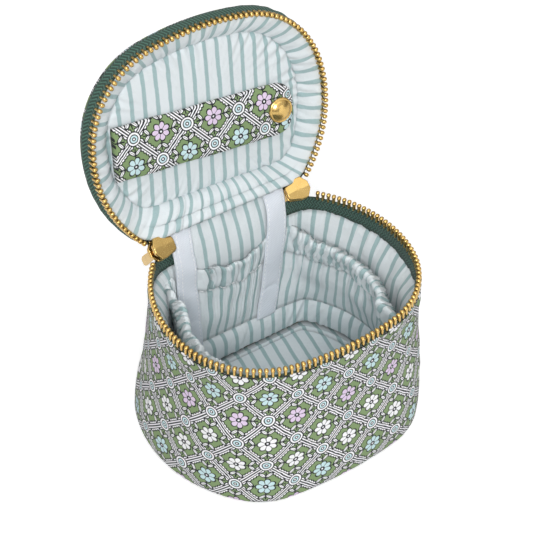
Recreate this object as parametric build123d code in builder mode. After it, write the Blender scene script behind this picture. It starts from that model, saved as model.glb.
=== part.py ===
from build123d import *
from math import atan2, cos, degrees, exp, hypot, pi, radians, sin, sqrt
import os

os.makedirs("parts", exist_ok=True)

# A soft, padded jewelry case: a D-shaped tub with a zipped lid that opens on a cloth hinge.
# Millimetres. X runs to the right along the hinge, Y to the back, Z up.
# The origin is the middle of the underside. Outlines are drawn with the hinge line at y = 0.

# Rim of the tub and lid, on the line of the zip teeth
rim_width = 114.6
rim_depth = 91.0
rim_back_corner_r = 13.6
rim_side_r = 59.7
rim_front_corner_r = 41.0
rim_front_r = 123.7
rim_widest_at = 44.4

# Foot of the tub, which is a little larger than the rim
foot_width = 127.6
foot_depth = 95.5
foot_back_corner_r = 24.0
foot_side_r = 63.8
foot_front_corner_r = 32.1
foot_front_r = 185.5
foot_widest_at = 39.7
foot_back_overhang = 2.9
foot_round_height = 4.0
foot_round_inset = 3.2

base_height = 78.4
lid_height = 14.0
open_angle = 103.0

# Cloth, padding and board
outer_cloth = 0.9
lining_cloth = 0.8
wall_padding = 4.3
board_thickness = 2.0
floor_padding = 3.3
waist_inset = 1.6
waist_share = 0.7
seam_clearance = 0.1

# Lining of the tub
lining_edge_below_rim = 7.5
lining_taper_height = 9.0
lining_edge_inset = 3.2
roll_height = 14.0
roll_swell = 3.0

# Pockets
pocket_height = 42.0
pocket_gap = 8.0
pocket_cloth = 1.4
pocket_end_run = 14.0
pocket_end_gap = 0.9
casing_height = 13.0
elastic_width = 7.0
elastic_thickness = 0.5
hem_fold = 1.0
casing_fold = 0.8
seam_fold = 0.25
back_pocket_folds = 5
side_pocket_folds = 10
side_pocket_end_run = 30.0

# Bindings over the two back seams of the lining
binding_width = 10.5
binding_thickness = 2.2
left_binding_top_x = -24.4
left_binding_foot_x = -23.8
right_binding_top_x = 20.5
right_binding_foot_x = 9.5

# Gap that the cloth hinge bridges
hinge_gap = 1.0

# Zip
outer_edge_below_teeth = 3.4
tape_thickness = 0.8
tape_height = 11.0
tooth_pitch = 2.5
tooth_width = 1.3
tooth_thickness = 2.3
tooth_height = 3.4
tooth_reach = 0.8
tooth_taper = 4.0

# Sliders and pulls
slider_length = 11.0
slider_width = 9.6
slider_tail_width = 7.0
slider_height = 4.8
slider_plate = 1.1
slider_slot = 1.2
slider_rail = 1.0
slider_corner_r = 1.6
slider_tail_x = 29.0
slider_notch_clearance = 0.6
wedge_width = 2.6
wedge_length = 3.4
bail_bar_r = 0.7
bail_span = 4.8
bail_foot = 1.4
bail_foot_width = 1.6
bail_rise = 2.0
pull_clearance = 0.3
pull_eye_wall = 0.6
pull_length = 22.0
pull_end_r = 1.8
pull_thickness = 1.2

# Lid
lid_edge_round = 4.5
lid_crown = 1.0
lid_crown_inset = 22.0
lid_cloth_start = 7.0
lid_lining_start = 3.0
lid_recess = 8.0
lid_recess_inset = 10.5
pad_crown = 1.3
pad_crown_inset = 20.0
pad_thickness = 1.6
crown_steps = 4

# Ring bar in the lid, held by a snap at its free end
bar_length = 86.0
bar_width = 24.5
bar_thickness = 4.0
bar_end_r = 9.0
bar_edge_r = 1.4
bar_tilt = 5.5
bar_end_x = -45.0
bar_end_v = 47.1
bar_cloth = 0.8
bar_gap = 0.4
snap_from_end = 7.0
cap_r = 5.75
cap_height = 2.2
cap_edge_r = 1.6
cap_dimple_r = 1.2
cap_dimple_depth = 0.5
socket_r = 4.8
socket_height = 1.8
socket_bore_depth = 1.4
stud_head_r = 2.0
stud_head_chamfer = 0.3
stud_flange_r = 4.5
stud_flange_height = 0.9
stud_back_r = 4.0
stud_back_height = 0.8
snap_clearance = 0.2
post_r = 1.5

# Places that follow from the sizes above
hinge_y = foot_depth / 2 - foot_back_overhang
base_plane = Plane((0, hinge_y, 0))
rim_plane = Plane((0, hinge_y, base_height))
half_open = open_angle / 2
hinge_point = (0, hinge_y, base_height)
lid_plane = Plane(hinge_point, x_dir=(1, 0, 0), z_dir=(0, sin(radians(open_angle)), cos(radians(open_angle))))
slider_plane = Plane(hinge_point, x_dir=(1, 0, 0), z_dir=(0, sin(radians(half_open)), cos(radians(half_open))))

band_top = base_height - outer_edge_below_teeth
lining_back_inset = outer_cloth + wall_padding
wall_inset = lining_back_inset + lining_cloth
board_floor = outer_cloth
floor_bottom = board_floor + board_thickness
floor_lining_bottom = floor_bottom + floor_padding
floor_top = floor_lining_bottom + lining_cloth
pocket_foot = floor_top + roll_height
pocket_top = pocket_foot + pocket_height
lining_top = base_height - lining_edge_below_rim
taper_foot = lining_top - lining_taper_height
back_lining_top = base_height - hinge_gap
tape_top = base_height + tooth_reach - tooth_height
tape_bottom = tape_top - tape_height
tooth_inset = outer_cloth + tape_thickness / 2

rim = (rim_width, rim_depth, rim_back_corner_r, rim_side_r, rim_front_corner_r, rim_front_r, rim_widest_at, 0.0)
foot = (
    foot_width,
    foot_depth,
    foot_back_corner_r,
    foot_side_r,
    foot_front_corner_r,
    foot_front_r,
    foot_widest_at,
    foot_back_overhang,
)


def arc_centres(shape):
    """Centres of the back corner, side, front corner and front arcs, with the back edge at y = 0."""
    width, depth, back_r, side_r, corner_r, front_r, widest, back = shape
    side = (width / 2 - side_r, -widest)
    back_corner = (side[0] + sqrt((side_r - back_r) ** 2 - (widest - back_r) ** 2), -back_r)
    front = (0.0, front_r - depth)
    gap_x = front[0] - side[0]
    gap_y = front[1] - side[1]
    gap = hypot(gap_x, gap_y)
    reach_side = side_r - corner_r
    reach_front = front_r - corner_r
    along = (reach_side**2 - reach_front**2 + gap**2) / (2 * gap)
    away = sqrt(reach_side**2 - along**2)
    middle_x = side[0] + along * gap_x / gap
    middle_y = side[1] + along * gap_y / gap
    option_a = (middle_x + away * gap_y / gap, middle_y - away * gap_x / gap)
    option_b = (middle_x - away * gap_y / gap, middle_y + away * gap_x / gap)
    front_corner = option_a if option_a[0] > option_b[0] else option_b
    return back_corner, side, front_corner, front


def toward(start, end):
    """Unit direction from start to end."""
    run = hypot(end[0] - start[0], end[1] - start[1])
    return ((end[0] - start[0]) / run, (end[1] - start[1]) / run)


def drawn_in(shape, inset):
    """The outline drawn in by inset; its back corners tighten without ever closing up."""
    width, depth, back_r, side_r, corner_r, front_r, widest, back = shape
    return (
        width - 2 * inset,
        depth - 2 * inset,
        back_r * exp(-inset / back_r),
        side_r - inset,
        corner_r - inset,
        front_r - inset,
        widest - inset,
        back - inset,
    )


def draw_outline(shape, inset=0.0):
    """Adds the D-shaped outline, drawn in by inset, to the sketch in hand as a face."""
    inner = drawn_in(shape, inset)
    width, depth, back_r, side_r, corner_r, front_r, widest, back = inner
    back_corner, side, front_corner, front = arc_centres(inner)
    meet_side = toward(side, back_corner)
    meet_corner = toward(side, front_corner)
    meet_front = toward(front, front_corner)
    line_end = (back_corner[0], back)
    side_start = (back_corner[0] + back_r * meet_side[0], back + back_corner[1] + back_r * meet_side[1])
    side_end = (
        front_corner[0] + corner_r * meet_corner[0],
        back + front_corner[1] + corner_r * meet_corner[1],
    )
    front_start = (
        front_corner[0] + corner_r * meet_front[0],
        back + front_corner[1] + corner_r * meet_front[1],
    )
    with BuildLine() as path:
        Line((0, back), line_end)
        RadiusArc(line_end, side_start, back_r)
        RadiusArc(side_start, side_end, side_r)
        RadiusArc(side_end, front_start, corner_r)
        RadiusArc(front_start, (0, back - depth), front_r)
        mirror(about=Plane.YZ)
    make_face(path.edges())


def wall_shape(share):
    """Outline of the wall between the foot (0) and the rim (1)."""
    return tuple(low + (high - low) * share for low, high in zip(foot, rim))


def wall_share(height):
    """How far up the wall a height is, from the rounded foot edge to the band's top."""
    return (height - foot_round_height) / (band_top - foot_round_height)


def wall_sections(inset, bottom, top):
    """Wall outlines from bottom to top, drawn in at the waist, each with its height."""
    waist_height = foot_round_height + waist_share * (band_top - foot_round_height)
    belly_height = (foot_round_height + waist_height) / 2
    sections = [(bottom, foot, inset + foot_round_inset / 2)]
    sections.append((foot_round_height, foot, inset))
    sections.append((belly_height, wall_shape(wall_share(belly_height)), inset + waist_inset / 4))
    sections.append((waist_height, wall_shape(wall_share(waist_height)), inset + waist_inset))
    sections.append((top, wall_shape(wall_share(top)), inset))
    return sections


def wall_body(inset, bottom, top, mode=Mode.ADD):
    """The wall's whole form drawn in by inset: a rounded foot edge, then a soft rise to the top."""
    sections = wall_sections(inset, bottom, top)
    with BuildSketch(base_plane.offset(sections[0][0]), mode=Mode.PRIVATE) as lowest:
        draw_outline(sections[0][1], sections[0][2])
    rise = []
    for height, shape, drawn_in in sections[1:]:
        with BuildSketch(base_plane.offset(height), mode=Mode.PRIVATE) as section:
            draw_outline(shape, drawn_in)
        rise.append(section.sketch)
    loft([lowest.sketch, rise[0]], ruled=True, mode=mode)
    loft(rise, mode=mode)


def rim_stack(plane, levels, mode=Mode.ADD):
    """A body through rim outlines, given as heights on the plane with how far each is drawn in."""
    sections = []
    for height, drawn_in in levels:
        with BuildSketch(plane.offset(height), mode=Mode.PRIVATE) as section:
            draw_outline(rim, drawn_in)
        sections.append(section.sketch)
    for low, high in zip(sections, sections[1:]):
        loft([low, high], ruled=True, mode=mode)


def outline_arcs(shape):
    """The right half of an outline, from the middle of the front: each arc's centre, radius and turn."""
    back_corner, side, front_corner, front = arc_centres(shape)
    meet_front = toward(front, front_corner)
    meet_corner = toward(side, front_corner)
    meet_side = toward(side, back_corner)
    turns = [0.0]
    for direction in (meet_front, meet_corner, meet_side):
        turns.append(atan2(direction[1], direction[0]) + pi / 2)
    turns.append(pi)
    width, depth, back_r, side_r, corner_r, front_r, widest, back = shape
    centres = (front, front_corner, side, back_corner)
    radii = (front_r, corner_r, side_r, back_r)
    return list(zip(centres, radii, turns[:-1], turns[1:]))


def along_outline(shape, run):
    """Place and heading at a run along an outline from the middle of the front, to the right."""
    left_over = run
    for centre, radius, start, stop in outline_arcs(shape):
        length = radius * (stop - start)
        if left_over <= length:
            turn = start + left_over / radius
            return centre[0] + radius * sin(turn), shape[-1] + centre[1] - radius * cos(turn), turn
        left_over = left_over - length
    return arc_centres(shape)[0][0] - left_over, shape[-1], pi


def run_to_back(shape, x):
    """Run along an outline from the middle of the front to a place x on its straight back."""
    arcs = sum(radius * (stop - start) for centre, radius, start, stop in outline_arcs(shape))
    return arcs + arc_centres(shape)[0][0] - x


def binding_x(side, height):
    """Middle of a binding at a height: the right one leans in towards its foot."""
    foot_x, top_x = binding_ends[side]
    share = (height - pocket_foot) / (back_lining_top - pocket_foot)
    return foot_x + (top_x - foot_x) * share


def pocket_run(shape, side, height):
    """Where a pocket starts and stops along an outline: side 1 is right, -1 left and 0 the back."""
    edge = binding_width / 2 + pocket_end_gap
    if side == 0:
        return (
            run_to_back(shape, binding_x(1, height) - edge),
            run_to_back(shape, binding_x(-1, height) + edge),
        )
    return run_to_back(shape, side * binding_x(side, height) + edge), side_pocket_end_run


def gathered_level(height, side, folds, cloth):
    """Both faces of a pocket's gathered cloth at one height, as places from end to end."""
    share = (height - pocket_foot) / pocket_height
    casing_share = 1 - casing_height / pocket_height
    if share < casing_share:
        fold = seam_fold + (casing_fold - seam_fold) * share / casing_share
    else:
        fold = casing_fold + (hem_fold - casing_fold) * (share - casing_share) / (1 - casing_share)
    sewn_inset = wall_inset + seam_clearance + hem_fold + pocket_cloth / 2
    start, stop = pocket_run(drawn_in(rim, sewn_inset), side, height)
    steps = 4 * folds
    mirrored = -1 if side == -1 else 1
    middles = []
    for step in range(steps + 1):
        part_way = step / steps
        from_end = min(part_way, 1 - part_way) * abs(stop - start)
        opened = sin(pi / 2 * min(1.0, from_end / pocket_end_run))
        path = drawn_in(rim, sewn_inset + pocket_gap * share * opened)
        path_start, path_stop = pocket_run(path, side, height)
        x, y, turn = along_outline(path, path_start + (path_stop - path_start) * part_way)
        middles.append((mirrored * x, y))
    surfaces = []
    for surface_offset in (-cloth / 2, cloth / 2):
        places = []
        for step in range(steps + 1):
            before = middles[max(step - 1, 0)]
            after = middles[min(step + 1, steps)]
            along_x, along_y = toward(before, after)
            inward = mirrored * (fold * (0, 1, 0, -1)[step % 4] + surface_offset)
            x, y = middles[step]
            places.append((x + inward * along_y, y - inward * along_x))
        surfaces.append(places)
    return surfaces


def gathered_wall(heights, side, folds, cloth, mode=Mode.ADD):
    """Gathered cloth through several heights, its folds running up and down as arcs."""
    levels = []
    for height in heights:
        near, far = gathered_level(height, side, folds, cloth)
        with BuildSketch(base_plane.offset(height), mode=Mode.PRIVATE) as level:
            with BuildLine() as path:
                for places in (near, far):
                    for step in range(0, len(places) - 2, 2):
                        ThreePointArc(places[step], places[step + 1], places[step + 2])
                Line(near[0], far[0])
                Line(near[-1], far[-1])
            make_face(path.edges())
        levels.append(level.sketch)
    for low, high in zip(levels, levels[1:]):
        loft([low, high], ruled=True, mode=mode)


def back_strip(half_width, mode):
    """Keeps or cuts a stretch of the tub's back."""
    with BuildSketch(base_plane, mode=Mode.PRIVATE) as strip:
        Rectangle(2 * half_width, rim_depth)
    extrude(strip.sketch, amount=base_height, mode=mode)


def lid_back_strip(half_width, mode):
    """Keeps or cuts a stretch of the lid's back."""
    with BuildSketch(lid_plane, mode=Mode.PRIVATE) as strip:
        Rectangle(2 * half_width, rim_depth)
    extrude(strip.sketch, amount=lid_height, mode=mode)


def lining_wedge(mode):
    """Keeps or cuts the back of the lining between the middles of the two bindings."""
    with BuildSketch(Plane.XZ.offset(-hinge_y), mode=Mode.PRIVATE) as wedge:
        with BuildLine() as edge:
            Polyline(
                (left_binding_foot_x, 0),
                (right_binding_foot_x, 0),
                (right_binding_foot_x, pocket_foot),
                (right_binding_top_x, back_lining_top),
                (right_binding_top_x, base_height),
                (left_binding_top_x, base_height),
                (left_binding_top_x, back_lining_top),
                (left_binding_foot_x, pocket_foot),
                close=True,
            )
        make_face(edge.edges())
    extrude(wedge.sketch, amount=rim_depth / 2, mode=mode)


def slider_middle(side):
    """Middle and heading of a slider on the closed rim, in the rim's plane."""
    path = drawn_in(rim, tooth_inset)
    x, y, turn = along_outline(path, run_to_back(path, slider_tail_x) - slider_length / 2)
    return side * x, y, turn


def slider_half_room():
    """Half the length along the hinge of the room for a slider."""
    x, y, turn = slider_middle(1)
    return slider_length / 2 + slider_height / 2 * sin(turn) + slider_notch_clearance


def slider_room_x():
    """Where the room for a slider ends, on the side of its mouth."""
    return slider_middle(1)[0] + slider_half_room()


def back_seam_x():
    """Where the back panel's seams run, at the side of each slider's room."""
    return slider_middle(1)[0] - slider_half_room()


def slider_notches(plane):
    """Cuts the round room that both sliders need to tip in as the lid moves."""
    x, y, turn = slider_middle(1)
    mouth_y = y - slider_length / 2 * sin(turn)
    room_r = hypot(slider_width / 2 - mouth_y, slider_height / 2) + slider_notch_clearance
    room_half_length = slider_half_room()
    for side in (-1, 1):
        middle = plane.from_local_coords((side * x, 0, 0))
        with BuildSketch(Plane(middle, x_dir=plane.z_dir, z_dir=plane.x_dir), mode=Mode.PRIVATE) as room:
            Circle(room_r)
        extrude(room.sketch, amount=room_half_length, both=True, mode=Mode.SUBTRACT)


def tooth_places(first_share):
    """Teeth along both halves of the rim, from the middle of the front to the sliders' mouths."""
    path = drawn_in(rim, tooth_inset)
    last = run_to_back(path, slider_tail_x) - slider_length - tooth_pitch / 2
    places = []
    run = first_share * tooth_pitch
    while run < last:
        x, y, turn = along_outline(path, run)
        places.append(Location((x, y, 0), (0, 0, degrees(turn))))
        if run > 0:
            places.append(Location((-x, y, 0), (0, 0, -degrees(turn))))
        run = run + tooth_pitch
    return places


def lid_crown_levels(inset, rise_less):
    """Heights and insets of the lid's outer form: a round edge, then a slight crown."""
    edge_start = lid_height - lid_crown - lid_edge_round
    round_r = lid_edge_round - rise_less
    levels = []
    for step in range(crown_steps + 1):
        angle = pi / 2 * step / crown_steps
        levels.append((edge_start + round_r * sin(angle), inset + round_r * (1 - cos(angle))))
    flat_inset = inset + round_r
    for step in range(1, crown_steps + 1):
        share = step / crown_steps
        rise = lid_crown * sin(pi / 2 * share)
        levels.append((edge_start + round_r + rise, flat_inset + (lid_crown_inset - flat_inset) * share))
    return levels


def pad_levels():
    """Heights and insets of the lid pad's crowned front, from its seam to its middle."""
    levels = []
    for step in range(crown_steps + 1):
        share = step / crown_steps
        rise = pad_crown * sin(pi / 2 * share)
        levels.append((lid_recess - rise, lid_recess_inset + (pad_crown_inset - lid_recess_inset) * share))
    return levels


def lining_levels(drawn):
    """Heights and insets of the tub lining: a swelling roll at its foot and a taper to the tape."""
    levels = [(floor_bottom, wall_inset + roll_swell + drawn)]
    for step in range(crown_steps + 1):
        share = step / crown_steps
        swell = roll_swell * sin(pi / 4 + 3 * pi / 4 * share)
        levels.append((floor_top + roll_height * share, wall_inset + swell + drawn))
    levels.append((taper_foot, wall_inset + drawn))
    return levels


def on_lid(x, y, depth):
    """A place in the open lid, given in the closed lid's terms."""
    return lid_plane.from_local_coords((x, y, depth))


def snap_place():
    """Middle of the snap in the lid's plane."""
    reach = bar_length - snap_from_end
    turn = radians(bar_tilt)
    return bar_end_x + reach * cos(turn), -bar_end_v + reach * sin(turn)


def draw_bar(inset):
    """The ring bar's outline from its sewn end, with its free end rounded."""
    with BuildLine() as path:
        half = bar_width / 2 - inset
        FilletPolyline(
            (inset, half),
            (bar_length - inset, half),
            (bar_length - inset, -half),
            (inset, -half),
            radius=bar_end_r - inset,
        )
        Line((inset, -half), (inset, half))
    make_face(path.edges())


def draw_bar_core():
    """The bar's stuffing, which stops short of the snap."""
    core_length = bar_length - snap_from_end - cap_r - 2 * bar_cloth
    with Locations((bar_cloth + core_length / 2, 0)):
        Rectangle(core_length, bar_width - 2 * bar_edge_r - 2 * bar_cloth)


def slider_frame(side):
    """A slider's own plane: X from its tail to its mouth, Z out through its outer plate."""
    x, y, turn = slider_middle(side)
    origin = slider_plane.from_local_coords((x, y, 0))
    mouth = slider_plane.from_local_coords((x - side * cos(turn), y - sin(turn), 0))
    outward = slider_plane.from_local_coords((x + side * sin(turn), y - cos(turn), 0))
    return Plane(origin, x_dir=mouth - origin, z_dir=outward - origin)


def bail_plane(side):
    """Plane across the middle of a slider's bail bar, facing its mouth."""
    frame_plane = slider_frame(side)
    origin = frame_plane.from_local_coords((0, 0, slider_height / 2 + bail_rise))
    return Plane(origin, x_dir=frame_plane.z_dir, z_dir=frame_plane.x_dir)


def pull_plane(side):
    """A hanging pull's plane: X along the bail bar, Y straight up as far as the bar allows."""
    bar_across = bail_plane(side)
    along = bar_across.z_dir
    up = Vector(0, 0, 1) - along * along.Z
    return Plane(bar_across.origin, x_dir=along, z_dir=along.cross(up))


def draw_shield():
    """The slider's plate: a narrow tail and two rounded shoulders at the mouth."""
    tail = -slider_length / 2
    mouth = slider_length / 2
    with BuildLine() as path:
        Polyline(
            (tail, slider_tail_width / 2),
            (0, slider_width / 2),
            (mouth, slider_width / 2),
            (mouth - slider_corner_r / 2, 0),
            (mouth, -slider_width / 2),
            (0, -slider_width / 2),
            (tail, -slider_tail_width / 2),
            close=True,
        )
    shield = make_face(path.edges())
    fillet(shield.vertices().group_by(Axis.X)[-1], slider_corner_r)


def draw_channel():
    """The two channels for the rows of teeth, joining towards the tail."""
    reach = slider_length
    tail_half = slider_tail_width / 2 - slider_rail
    mouth_half = slider_width / 2 - slider_rail
    with BuildLine() as path:
        Polyline(
            (-reach, tail_half),
            (-slider_length / 2, tail_half),
            (0, mouth_half),
            (reach, mouth_half),
            (reach, -mouth_half),
            (0, -mouth_half),
            (-slider_length / 2, -tail_half),
            (-reach, -tail_half),
            close=True,
        )
    make_face(path.edges())


def draw_wedge():
    """The wedge between the two channels at the slider's mouth."""
    start = slider_length / 2 - slider_corner_r - wedge_length
    with Locations((start + wedge_length / 2, 0)):
        Rectangle(wedge_length, wedge_width)


bar_start = on_lid(bar_end_x, -bar_end_v, lid_recess - pad_crown - bar_gap)
bar_turn = radians(bar_tilt)
bar_ahead = on_lid(bar_end_x + cos(bar_turn), -bar_end_v + sin(bar_turn), lid_recess - pad_crown - bar_gap)
bar_plane = Plane(bar_start, x_dir=bar_ahead - bar_start, z_dir=lid_plane.z_dir)

binding_ends = {-1: (left_binding_foot_x, left_binding_top_x), 1: (right_binding_foot_x, right_binding_top_x)}

# Underside cloth panel, with its edge turned up to the wall band
with BuildPart() as bottom_panel:
    with BuildSketch(base_plane) as underside:
        draw_outline(foot, foot_round_inset)
    with BuildSketch(base_plane.offset(outer_cloth)) as underside_edge:
        draw_outline(foot, foot_round_inset / 2)
    loft(ruled=True)
bottom_panel.part.label = "bottom_panel"
export_step(bottom_panel.part, "parts/bottom_panel.step")

# Stiff board over the underside cloth
with BuildPart() as bottom_board:
    with BuildSketch(base_plane.offset(board_floor)):
        draw_outline(foot, outer_cloth + foot_round_inset / 2 + seam_clearance)
    extrude(amount=board_thickness)
bottom_board.part.label = "bottom_board"
export_step(bottom_board.part, "parts/bottom_board.step")

# Padding and cloth of the floor inside
with BuildPart() as floor_pad:
    with BuildSketch(base_plane.offset(floor_bottom)):
        draw_outline(rim, wall_inset + roll_swell)
    extrude(amount=floor_padding)
floor_pad.part.label = "floor_pad"
export_step(floor_pad.part, "parts/floor_pad.step")

with BuildPart() as floor_lining:
    with BuildSketch(base_plane.offset(floor_lining_bottom)):
        draw_outline(rim, wall_inset + roll_swell)
    extrude(amount=lining_cloth)
floor_lining.part.label = "floor_lining"
export_step(floor_lining.part, "parts/floor_lining.step")

# Outer cloth: a band round the front and sides, and a back panel between two seams
with BuildPart() as wall_cloth:
    wall_body(0.0, outer_cloth, band_top)
    wall_body(outer_cloth, outer_cloth, band_top, mode=Mode.SUBTRACT)

with BuildPart() as wall_band:
    add(wall_cloth.part)
    back_strip(back_seam_x(), Mode.SUBTRACT)
    slider_notches(rim_plane)
wall_band.part.label = "wall_band"
export_step(wall_band.part, "parts/wall_band.step")

with BuildPart() as back_panel:
    add(wall_cloth.part)
    back_strip(back_seam_x(), Mode.INTERSECT)
    with BuildSketch(base_plane.offset(band_top)):
        with Locations((0, -outer_cloth / 2)):
            Rectangle(2 * back_seam_x(), outer_cloth)
    extrude(amount=base_height - hinge_gap - band_top)
back_panel.part.label = "back_panel"
export_step(back_panel.part, "parts/back_panel.step")

# Lining of the tub, cut into a side piece and a back piece under the bindings
with BuildPart() as tub_lining:
    rim_stack(base_plane, lining_levels(-lining_cloth) + [(lining_top, lining_edge_inset - lining_cloth)])
    rim_stack(base_plane, lining_levels(0.0) + [(lining_top, lining_edge_inset)], mode=Mode.SUBTRACT)

with BuildPart() as wall_lining:
    add(tub_lining.part)
    lining_wedge(Mode.SUBTRACT)
wall_lining.part.label = "wall_lining"
export_step(wall_lining.part, "parts/wall_lining.step")

with BuildPart() as back_lining:
    rim_stack(base_plane, lining_levels(-lining_cloth) + [(back_lining_top, lining_edge_inset - lining_cloth)])
    rim_stack(base_plane, lining_levels(0.0) + [(back_lining_top, lining_edge_inset)], mode=Mode.SUBTRACT)
    lining_wedge(Mode.INTERSECT)
back_lining.part.label = "back_lining"
export_step(back_lining.part, "parts/back_lining.step")

# Padding between the outer cloth and the lining
with BuildPart() as wall_foam:
    wall_body(outer_cloth, outer_cloth, band_top)
    with BuildSketch(base_plane.offset(floor_bottom), mode=Mode.PRIVATE) as foam_layer:
        Rectangle(2 * foot_width, 2 * foot_depth)
    extrude(foam_layer.sketch, amount=tape_bottom - floor_bottom, mode=Mode.INTERSECT)
    rim_stack(
        base_plane,
        lining_levels(-lining_cloth) + [(lining_top, lining_edge_inset - lining_cloth)],
        mode=Mode.SUBTRACT,
    )
wall_foam.part.label = "wall_foam"
export_step(wall_foam.part, "parts/wall_foam.step")

# Gathered pockets, each with a flat elastic through its casing
pockets = {"back_pocket": (0, back_pocket_folds), "left_pocket": (-1, side_pocket_folds)}
pockets["right_pocket"] = (1, side_pocket_folds)
casing_seam = pocket_top - casing_height
elastic_middle = pocket_top - casing_height / 2
elastic_heights = (elastic_middle - elastic_width / 2, elastic_middle + elastic_width / 2)
for name, (side, folds) in pockets.items():
    with BuildPart() as pocket:
        gathered_wall((pocket_foot, casing_seam, pocket_top), side, folds, pocket_cloth)
        gathered_wall(elastic_heights, side, folds, elastic_thickness, mode=Mode.SUBTRACT)
    pocket.part.label = name
    export_step(pocket.part, "parts/" + name + ".step")
    with BuildPart() as elastic:
        gathered_wall(elastic_heights, side, folds, elastic_thickness)
    elastic.part.label = name + "_elastic"
    export_step(elastic.part, "parts/" + name + "_elastic.step")

# Bindings that cover the raw seams at the back of the lining
for name, side in (("left_binding", -1), ("right_binding", 1)):
    with BuildPart() as binding:
        for height in (pocket_foot, back_lining_top):
            with BuildSketch(base_plane.offset(height)):
                with Locations((binding_x(side, height), -wall_inset - binding_thickness / 2)):
                    Rectangle(binding_width, binding_thickness)
        loft(ruled=True)
    binding.part.label = name
    export_step(binding.part, "parts/" + name + ".step")

# Zip tape of the tub: behind the top of the outer cloth, then standing clear of it
with BuildPart() as tub_tape:
    wall_body(outer_cloth, outer_cloth, band_top)
    wall_body(outer_cloth + tape_thickness, outer_cloth, band_top, mode=Mode.SUBTRACT)
    with BuildSketch(base_plane.offset(tape_bottom), mode=Mode.PRIVATE) as tape_layer:
        Rectangle(2 * foot_width, 2 * foot_depth)
    extrude(tape_layer.sketch, amount=band_top - tape_bottom, mode=Mode.INTERSECT)
    rim_stack(base_plane, [(band_top, outer_cloth), (tape_top, outer_cloth)])
    tape_back_inset = outer_cloth + tape_thickness
    rim_stack(base_plane, [(band_top, tape_back_inset), (tape_top, tape_back_inset)], mode=Mode.SUBTRACT)
    back_strip(slider_room_x(), Mode.SUBTRACT)
tub_tape.part.label = "tub_tape"
export_step(tub_tape.part, "parts/tub_tape.step")

# Zip teeth of the tub, each a separate tooth on the tape's edge
with BuildPart() as tub_teeth:
    with BuildSketch(base_plane.offset(tape_top)):
        with Locations(*tooth_places(0.5)):
            Rectangle(tooth_width, tooth_thickness)
    extrude(amount=tooth_height, taper=tooth_taper)
tub_teeth.part.label = "tub_teeth"
export_step(tub_teeth.part, "parts/tub_teeth.step")

# Lid tape and teeth, set half a pitch along so that the two rows mesh when closed
with BuildPart() as lid_tape:
    rim_stack(lid_plane, [(tooth_height - tooth_reach, outer_cloth), (lid_recess, outer_cloth)])
    rim_stack(
        lid_plane,
        [(tooth_height - tooth_reach, tape_back_inset), (lid_recess, tape_back_inset)],
        mode=Mode.SUBTRACT,
    )
    lid_back_strip(slider_room_x(), Mode.SUBTRACT)
lid_tape.part.label = "lid_tape"
export_step(lid_tape.part, "parts/lid_tape.step")

with BuildPart() as lid_teeth:
    with BuildSketch(lid_plane.offset(tooth_height - tooth_reach)):
        with Locations(*tooth_places(0.0)):
            Rectangle(tooth_width, tooth_thickness)
    extrude(amount=-tooth_height, taper=tooth_taper)
lid_teeth.part.label = "lid_teeth"
export_step(lid_teeth.part, "parts/lid_teeth.step")

# Outer cloth of the lid: a narrow band round the front and sides, where the zip's tape shows
# between it and the teeth, the back end and the top panel
def lid_side_cloth(start):
    """Upright cloth round the lid, from a depth up to where its edge rounds over."""
    lid_side_height = lid_height - lid_crown - lid_edge_round
    rim_stack(lid_plane, [(start, 0.0), (lid_side_height, 0.0)])
    rim_stack(lid_plane, [(start, outer_cloth), (lid_side_height, outer_cloth)], mode=Mode.SUBTRACT)


with BuildPart() as lid_band:
    lid_side_cloth(lid_cloth_start)
    lid_back_strip(back_seam_x(), Mode.SUBTRACT)
lid_band.part.label = "lid_band"
export_step(lid_band.part, "parts/lid_band.step")

with BuildPart() as lid_back_end:
    lid_side_cloth(outer_edge_below_teeth)
    lid_back_strip(back_seam_x(), Mode.INTERSECT)
lid_back_end.part.label = "lid_back_end"
export_step(lid_back_end.part, "parts/lid_back_end.step")

with BuildPart() as lid_panel:
    rim_stack(lid_plane, lid_crown_levels(0.0, 0.0))
    rim_stack(lid_plane, lid_crown_levels(outer_cloth, outer_cloth), mode=Mode.SUBTRACT)
lid_panel.part.label = "lid_panel"
export_step(lid_panel.part, "parts/lid_panel.step")

# Padding of the lid's top and its padded lining panel, crowned towards the tub
pad_back = lid_recess + pad_thickness
pad_seam_inset = lid_recess_inset - lining_cloth
stud_x, stud_y = snap_place()
with BuildPart() as lid_foam:
    rim_stack(lid_plane, lid_crown_levels(outer_cloth, outer_cloth))
    with BuildSketch(lid_plane, mode=Mode.PRIVATE) as below_pad:
        Rectangle(2 * rim_width, 2 * rim_depth)
    extrude(below_pad.sketch, amount=pad_back, mode=Mode.SUBTRACT)
    with BuildSketch(lid_plane.offset(pad_back)):
        with Locations((stud_x, stud_y)):
            Circle(stud_back_r)
    extrude(amount=stud_back_height, mode=Mode.SUBTRACT)
lid_foam.part.label = "lid_foam"
export_step(lid_foam.part, "parts/lid_foam.step")

with BuildPart() as lid_pad:
    rim_stack(lid_plane, pad_levels())
    with BuildSketch(lid_plane.offset(lid_recess)):
        draw_outline(rim, pad_seam_inset)
    extrude(amount=pad_thickness)
    with BuildSketch(lid_plane.offset(lid_recess - pad_crown)):
        with Locations((stud_x, stud_y)):
            Circle(stud_flange_r)
    extrude(amount=stud_flange_height, mode=Mode.SUBTRACT)
    with BuildSketch(lid_plane.offset(pad_back)):
        with Locations((stud_x, stud_y)):
            Circle(post_r)
    extrude(amount=-pad_thickness - pad_crown, mode=Mode.SUBTRACT)
lid_pad.part.label = "lid_pad"
export_step(lid_pad.part, "parts/lid_pad.step")

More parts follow.
